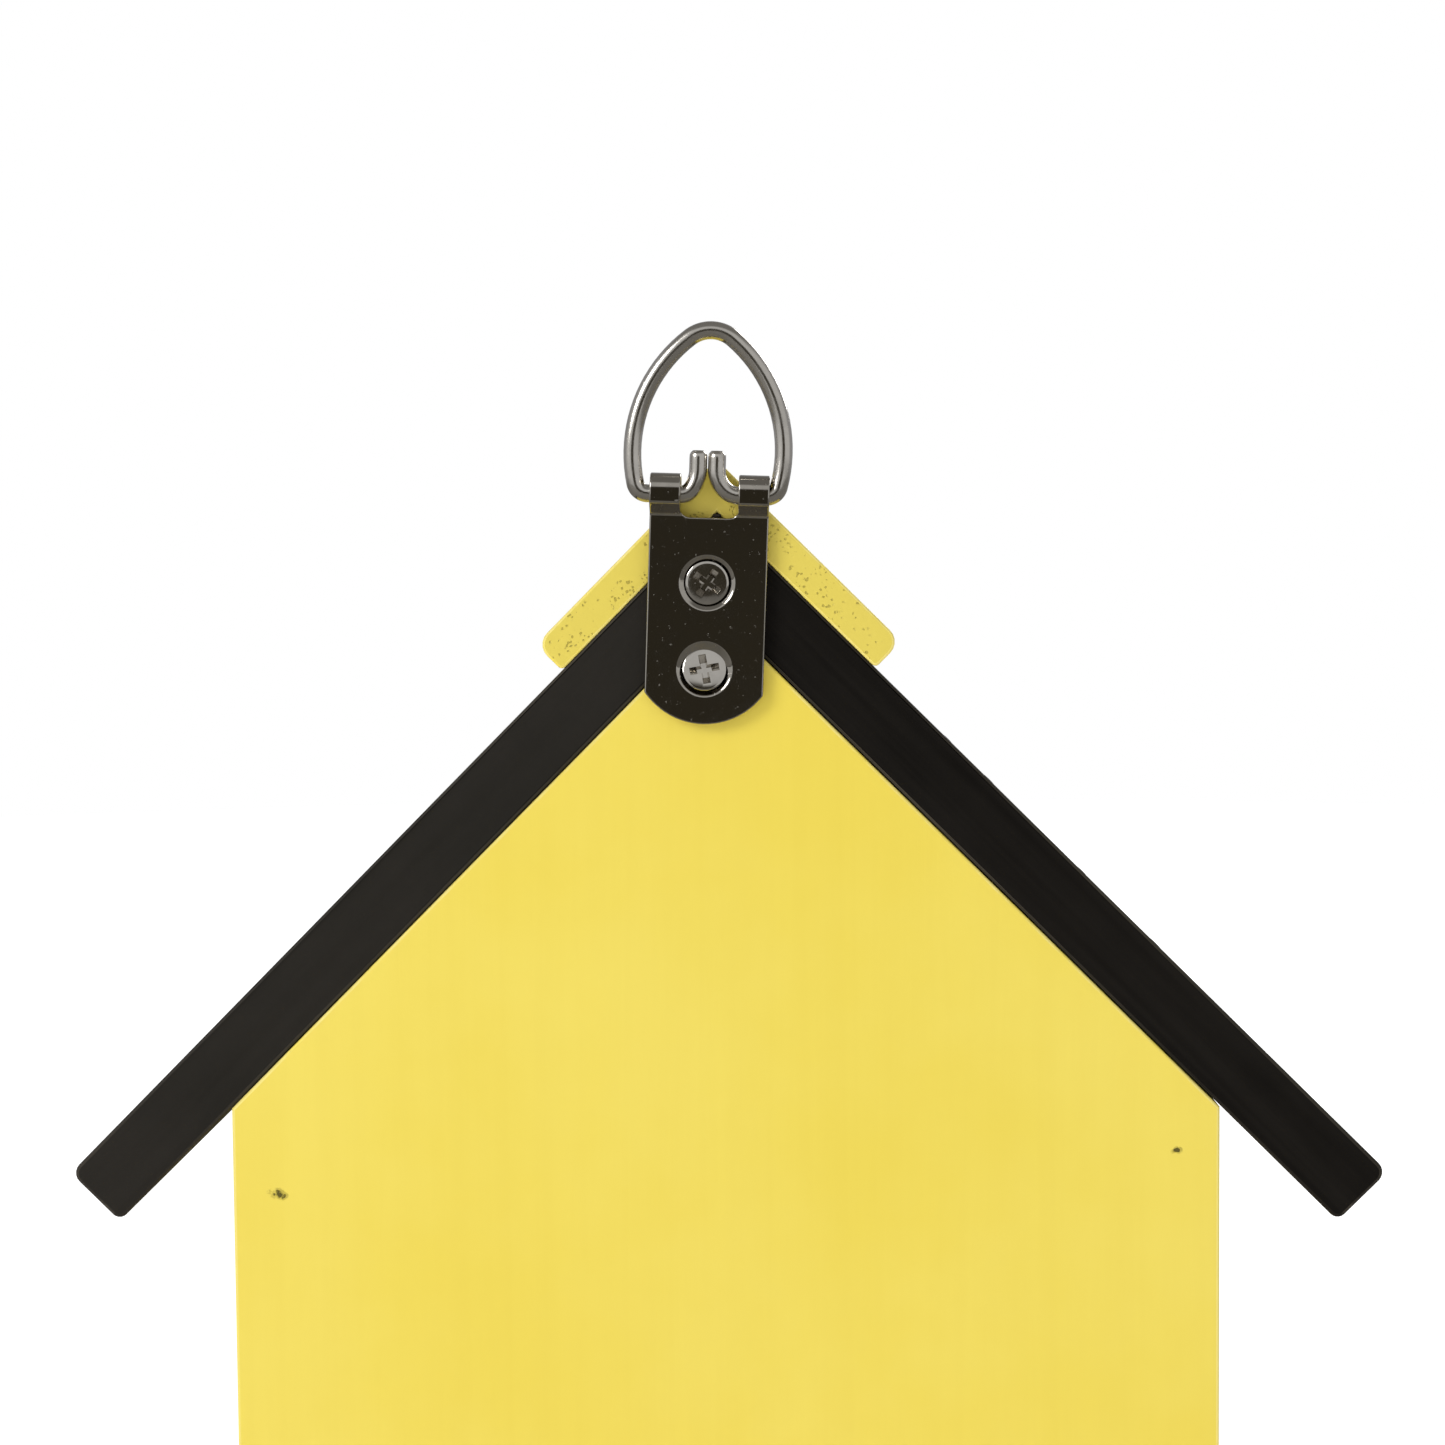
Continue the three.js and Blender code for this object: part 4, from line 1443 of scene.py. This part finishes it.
# %% Glue beads
def bead_tree():
    tree = bpy.data.node_groups.new("glue beads", "GeometryNodeTree")
    for label, kind in (
        ("Card", "NodeSocketGeometry"), ("Beads Per Area", "NodeSocketFloat"),
        ("Bead Radius", "NodeSocketFloat"), ("Seed", "NodeSocketInt"),
        ("Material", "NodeSocketMaterial"),
    ):
        tree.interface.new_socket(label, in_out="INPUT", socket_type=kind)
    tree.interface.new_socket("Beads", in_out="OUTPUT", socket_type="NodeSocketGeometry")
    start = tree.nodes.new("NodeGroupInput").outputs
    end = tree.nodes.new("NodeGroupOutput").inputs
    scattered = add_node(
        tree, "GeometryNodeDistributePointsOnFaces",
        {"Mesh": start["Card"], "Density": start["Beads Per Area"], "Seed": start["Seed"]},
    )
    drop = add_node(
        tree, "GeometryNodeMeshIcoSphere", {"Radius": start["Bead Radius"], "Subdivisions": 2}
    )
    size = add_node(
        tree, "FunctionNodeRandomValue", {"Seed": start["Seed"]}, data_type="FLOAT_VECTOR"
    )
    size.inputs[0].default_value = (0.4, 0.4, 0.15)
    size.inputs[1].default_value = (1.5, 1.1, 0.35)
    placed = add_node(
        tree, "GeometryNodeInstanceOnPoints",
        {"Points": scattered.outputs["Points"], "Instance": drop.outputs["Mesh"],
         "Scale": size.outputs[0]},
    )
    real = add_node(
        tree, "GeometryNodeRealizeInstances", {"Geometry": placed.outputs["Instances"]}
    )
    painted = add_node(
        tree, "GeometryNodeSetMaterial",
        {"Geometry": real.outputs["Geometry"], "Material": start["Material"]},
    )
    tree.links.new(painted.outputs["Geometry"], end["Beads"])
    return tree


card_low, card_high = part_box("sticky_card")
margin = 3 * MM
bed = bpy.data.meshes.new("glued area")
bed.from_pydata(
    [(x, y, card_high.z) for x, y in (
        (card_low.x + margin, card_low.y + margin), (card_high.x - margin, card_low.y + margin),
        (card_high.x - margin, card_high.y - margin), (card_low.x + margin, card_high.y - margin),
    )], [], [(0, 1, 2, 3)],
)
beads = run_nodes(bed, bead_tree(), {
    "Beads Per Area": 90000.0, "Bead Radius": 0.9 * MM, "Seed": 4, "Material": bead_finish,
})
finish_piece("glue_beads", beads, bead_finish, "tray")

# %% [markdown]
# ## The lure
# A screw eye in the ridge carries a pin, and the pin carries the rubber lure. The eye and the pin
# are bent from wire with the same tree as the ring: the pin's wire makes a loop round the eye and
# two turns round its own stem. The rubber is turned, with an open mouth at the top.

# %% Screw eye
eye_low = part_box("lure_eye")[0]
eye_radius = 4.0
eye_wire = 0.9 * MM
eye_middle = eye_low.z + eye_wire + eye_radius * MM
neck = 1.2
eye_path = [(0, eye_radius + neck + rise) for rise in (7.0, 6.8, 6.0, 4.0, 2.0)]
eye_path += arc((neck, eye_radius + neck), neck, math.pi, 1.5 * math.pi, 8)
eye_path += arc((0, 0), eye_radius, 0.40 * math.pi, -1.42 * math.pi, 48)
eye_points = [Vector((x * MM, 0, eye_middle + z * MM)) for x, z in eye_path]
bend_wire("lure_screw_eye", eye_points, eye_wire, zinc_wire, "house", ["lure_eye"])


# %% Pin with its loop
bar_height = next(j for j in frame["joints"] if j["name"] == "lure_swing")["pos_m"][2]
pin_wire = 0.55
link_radius = 2.3
link_hang = 0.7
pin_length = 52.0


def pin_path():
    """Up the stem, once round the loop, and down again in a coil about the stem."""
    points = [(0, 0, -pin_length + rise) for rise in (0.4, 10, 20, 30, 40)]
    loop_foot = -link_hang - link_radius
    points.append((0, 0, loop_foot - 2.6))
    for k in range(37):
        angle = -math.pi / 2 + 2 * math.pi * k / 36
        points.append((
            0.75 * k / 36, link_radius * math.cos(angle),
            -link_hang + link_radius * math.sin(angle),
        ))
    for k in range(1, 41):
        angle = 2 * math.pi * 2 * k / 40
        points.append((
            2.05 * pin_wire * math.cos(angle), 2.05 * pin_wire * math.sin(angle),
            loop_foot - 0.4 - 1.15 * angle / (2 * math.pi),
        ))
    return points


pin_points = [Vector((x, y, z)) * MM + Vector((0, 0, bar_height)) for x, y, z in pin_path()]
bend_wire("lure_pin_wire", pin_points, pin_wire * MM, zinc_wire, "lure",
          ["lure_pin"])
head_foot = bar_height - (pin_length + 0.8) * MM
pin_head = [
    (0, 0), (1.25, 0), (1.45, 0.12), (1.5, 0.3), (1.5, 0.5), (1.42, 0.7), (1.2, 0.8), (0, 0.8),
]
finish_piece("lure_pin_head", aim(turned(pin_head, 32), Vector((0, 0, head_foot)),
             Vector((0, 0, 1))), zinc_wire, "lure")

# %% Rubber lure
septum_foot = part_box("lure_septum")[0].z
bore = 0.8
septum_profile = [
    (bore, 0), (2.35, 0), (2.7, 0.12), (2.9, 0.4), (3.0, 0.8), (3.15, 3.5), (3.3, 6.5),
    (3.42, 8.4), (3.6, 8.9), (4.3, 9.15), (4.7, 9.4), (4.88, 9.8), (4.9, 11), (4.82, 12.5),
    (4.8, 15), (4.84, 17.2), (4.9, 17.9), (4.86, 18.5), (4.6, 18.9), (4.2, 19.0), (3.6, 18.96),
    (3.25, 18.75), (3.1, 18.4), (3.1, 11.4), (2.9, 11.0), (2.2, 10.6), (bore, 10.3), (bore, 0),
]
septum = turned(septum_profile, 56)
weld(septum, 0.0005 * MM)
finish_piece("lure_rubber_sleeve", aim(septum, Vector((0, 0, septum_foot)), Vector((0, 0, 1))),
             rubber_finish, "lure", ["lure_septum"])

# %% [markdown]
# ## Studio
# A white floor and background, with one soft lamp behind the house and one in front. Bare metal
# shows whatever stands around it, and plain white would wash it out. So the room has one dark
# patch straight out from the back, and mirrors see a dull floor and ceiling: the flat strap turns
# nearly black, and the round wire gets dark edges. A real studio does this with black cards.


# %% Floor
def round_floor(radius, height):
    shape = bmesh.new()
    bmesh.ops.create_circle(shape, cap_ends=True, radius=radius, segments=128)
    mesh = bpy.data.meshes.new("floor")
    shape.to_mesh(mesh)
    shape.free()
    mesh.transform(Matrix.Translation((0, 0, height)))
    floor = bpy.data.objects.new("studio_floor", mesh)
    bpy.context.scene.collection.objects.link(floor)
    return floor


def floor_paint():
    """Pale and faintly glowing, but dull where bare metal mirrors it."""
    material, tree, shader, where = start_material(
        "studio floor", 0.85, Emission_Strength=0.62
    )
    mirrored = add_node(tree, "ShaderNodeLightPath").outputs["Is Glossy Ray"]
    pale = blend_colour(tree, mirrored, (0.9, 0.9, 0.9, 1), dull_room)
    tree.links.new(pale, shader.inputs["Base Color"])
    glow = blend_colour(tree, mirrored, (1, 1, 1, 1), dull_room)
    tree.links.new(glow, shader.inputs["Emission Color"])
    return material


dull_room = (0.12, 0.115, 0.105, 1)
floor_radius = 1.5
floor_drop = 0.3 * MM
floor = round_floor(floor_radius, -floor_drop)
floor.data.materials.append(floor_paint())


# %% Room
def light_room():
    world = bpy.data.worlds.new("studio room")
    world.use_nodes = True
    bpy.context.scene.world = world
    tree = world.node_tree
    background = tree.nodes["Background"]
    direction = add_node(tree, "ShaderNodeTexCoord").outputs["Generated"]
    towards = add_node(
        tree, "ShaderNodeVectorMath", {0: direction, 1: (0, 1, 0)}, operation="DOT_PRODUCT"
    )
    patch = ramp(tree, towards.outputs["Value"], math.cos(math.radians(19)),
                 math.cos(math.radians(14)))
    behind = ramp(tree, towards.outputs["Value"], -0.1, 0.35)
    walls = blend_colour(tree, behind, (0.33, 0.33, 0.34, 1), (0.56, 0.56, 0.56, 1))
    rays = add_node(tree, "ShaderNodeLightPath")
    height = add_node(tree, "ShaderNodeSeparateXYZ", {0: direction}).outputs["Z"]
    overhead = ramp(tree, height, math.sin(math.radians(38)), math.sin(math.radians(52)))
    mirrored_overhead = calculate(tree, "MULTIPLY", overhead, rays.outputs["Is Glossy Ray"])
    room = blend_colour(tree, mirrored_overhead, walls, (0.2, 0.195, 0.185, 1))
    room = blend_colour(tree, patch, room, (0.038, 0.033, 0.023, 1))
    shown = blend_colour(tree, rays.outputs["Is Camera Ray"], room, (1, 1, 1, 1))
    tree.links.new(shown, background.inputs["Color"])


light_room()
bpy.context.scene.view_settings.view_transform = "Standard"


# %% Soft lamps
def soft_lamp(name, position, target, width, power):
    lamp = bpy.data.lights.new(name, "AREA")
    lamp.shape = "DISK"
    lamp.size = width
    lamp.energy = power
    holder = bpy.data.objects.new(name, lamp)
    holder.matrix_world = Matrix.Translation(position) @ (
        (target - position).to_track_quat("-Z", "Y").to_matrix().to_4x4()
    )
    bpy.context.scene.collection.objects.link(holder)
    return holder


house_middle = (cad_box[0] + cad_box[1]) / 2
soft_lamp("key lamp", Vector((0.72, 0.66, 0.62)), house_middle, 0.5, 4.7)
soft_lamp("fill lamp", Vector((-0.6, -0.85, 0.7)), house_middle, 0.6, 5.0)

# %% [markdown]
# ## Camera
# The camera stands close behind the house, a little above its middle, and looks slightly down
# and across, so the ridge leans and the sides converge. A small sideways shift sets the house in
# the frame.

# %% Camera
turned_across = math.radians(2.2)
pitched_down = math.radians(3.34)
rolled = math.radians(0.56)
forward = Vector((
    math.sin(turned_across) * math.cos(pitched_down),
    -math.cos(turned_across) * math.cos(pitched_down),
    -math.sin(pitched_down),
))
level_right = forward.cross(Vector((0, 0, 1))).normalized()
level_up = level_right.cross(forward)
camera_up = level_up * math.cos(rolled) + level_right * math.sin(rolled)
camera_right = level_right * math.cos(rolled) - level_up * math.sin(rolled)
camera_aside = -8 * MM
camera_distance = 350 * MM
camera_height = 168 * MM
camera_place = Vector((camera_aside, back_face + camera_distance, camera_height))
lens = bpy.data.cameras.new("camera")
lens.sensor_width = 36
lens.lens = 64.55
lens.shift_x = 0.0304
camera = bpy.data.objects.new("camera", lens)
facing = Matrix((camera_right, camera_up, -forward)).transposed().to_4x4()
camera.matrix_world = Matrix.Translation(camera_place) @ facing
bpy.context.scene.collection.objects.link(camera)
bpy.context.scene.camera = camera
print("camera", [round(c / MM, 1) for c in camera_place])
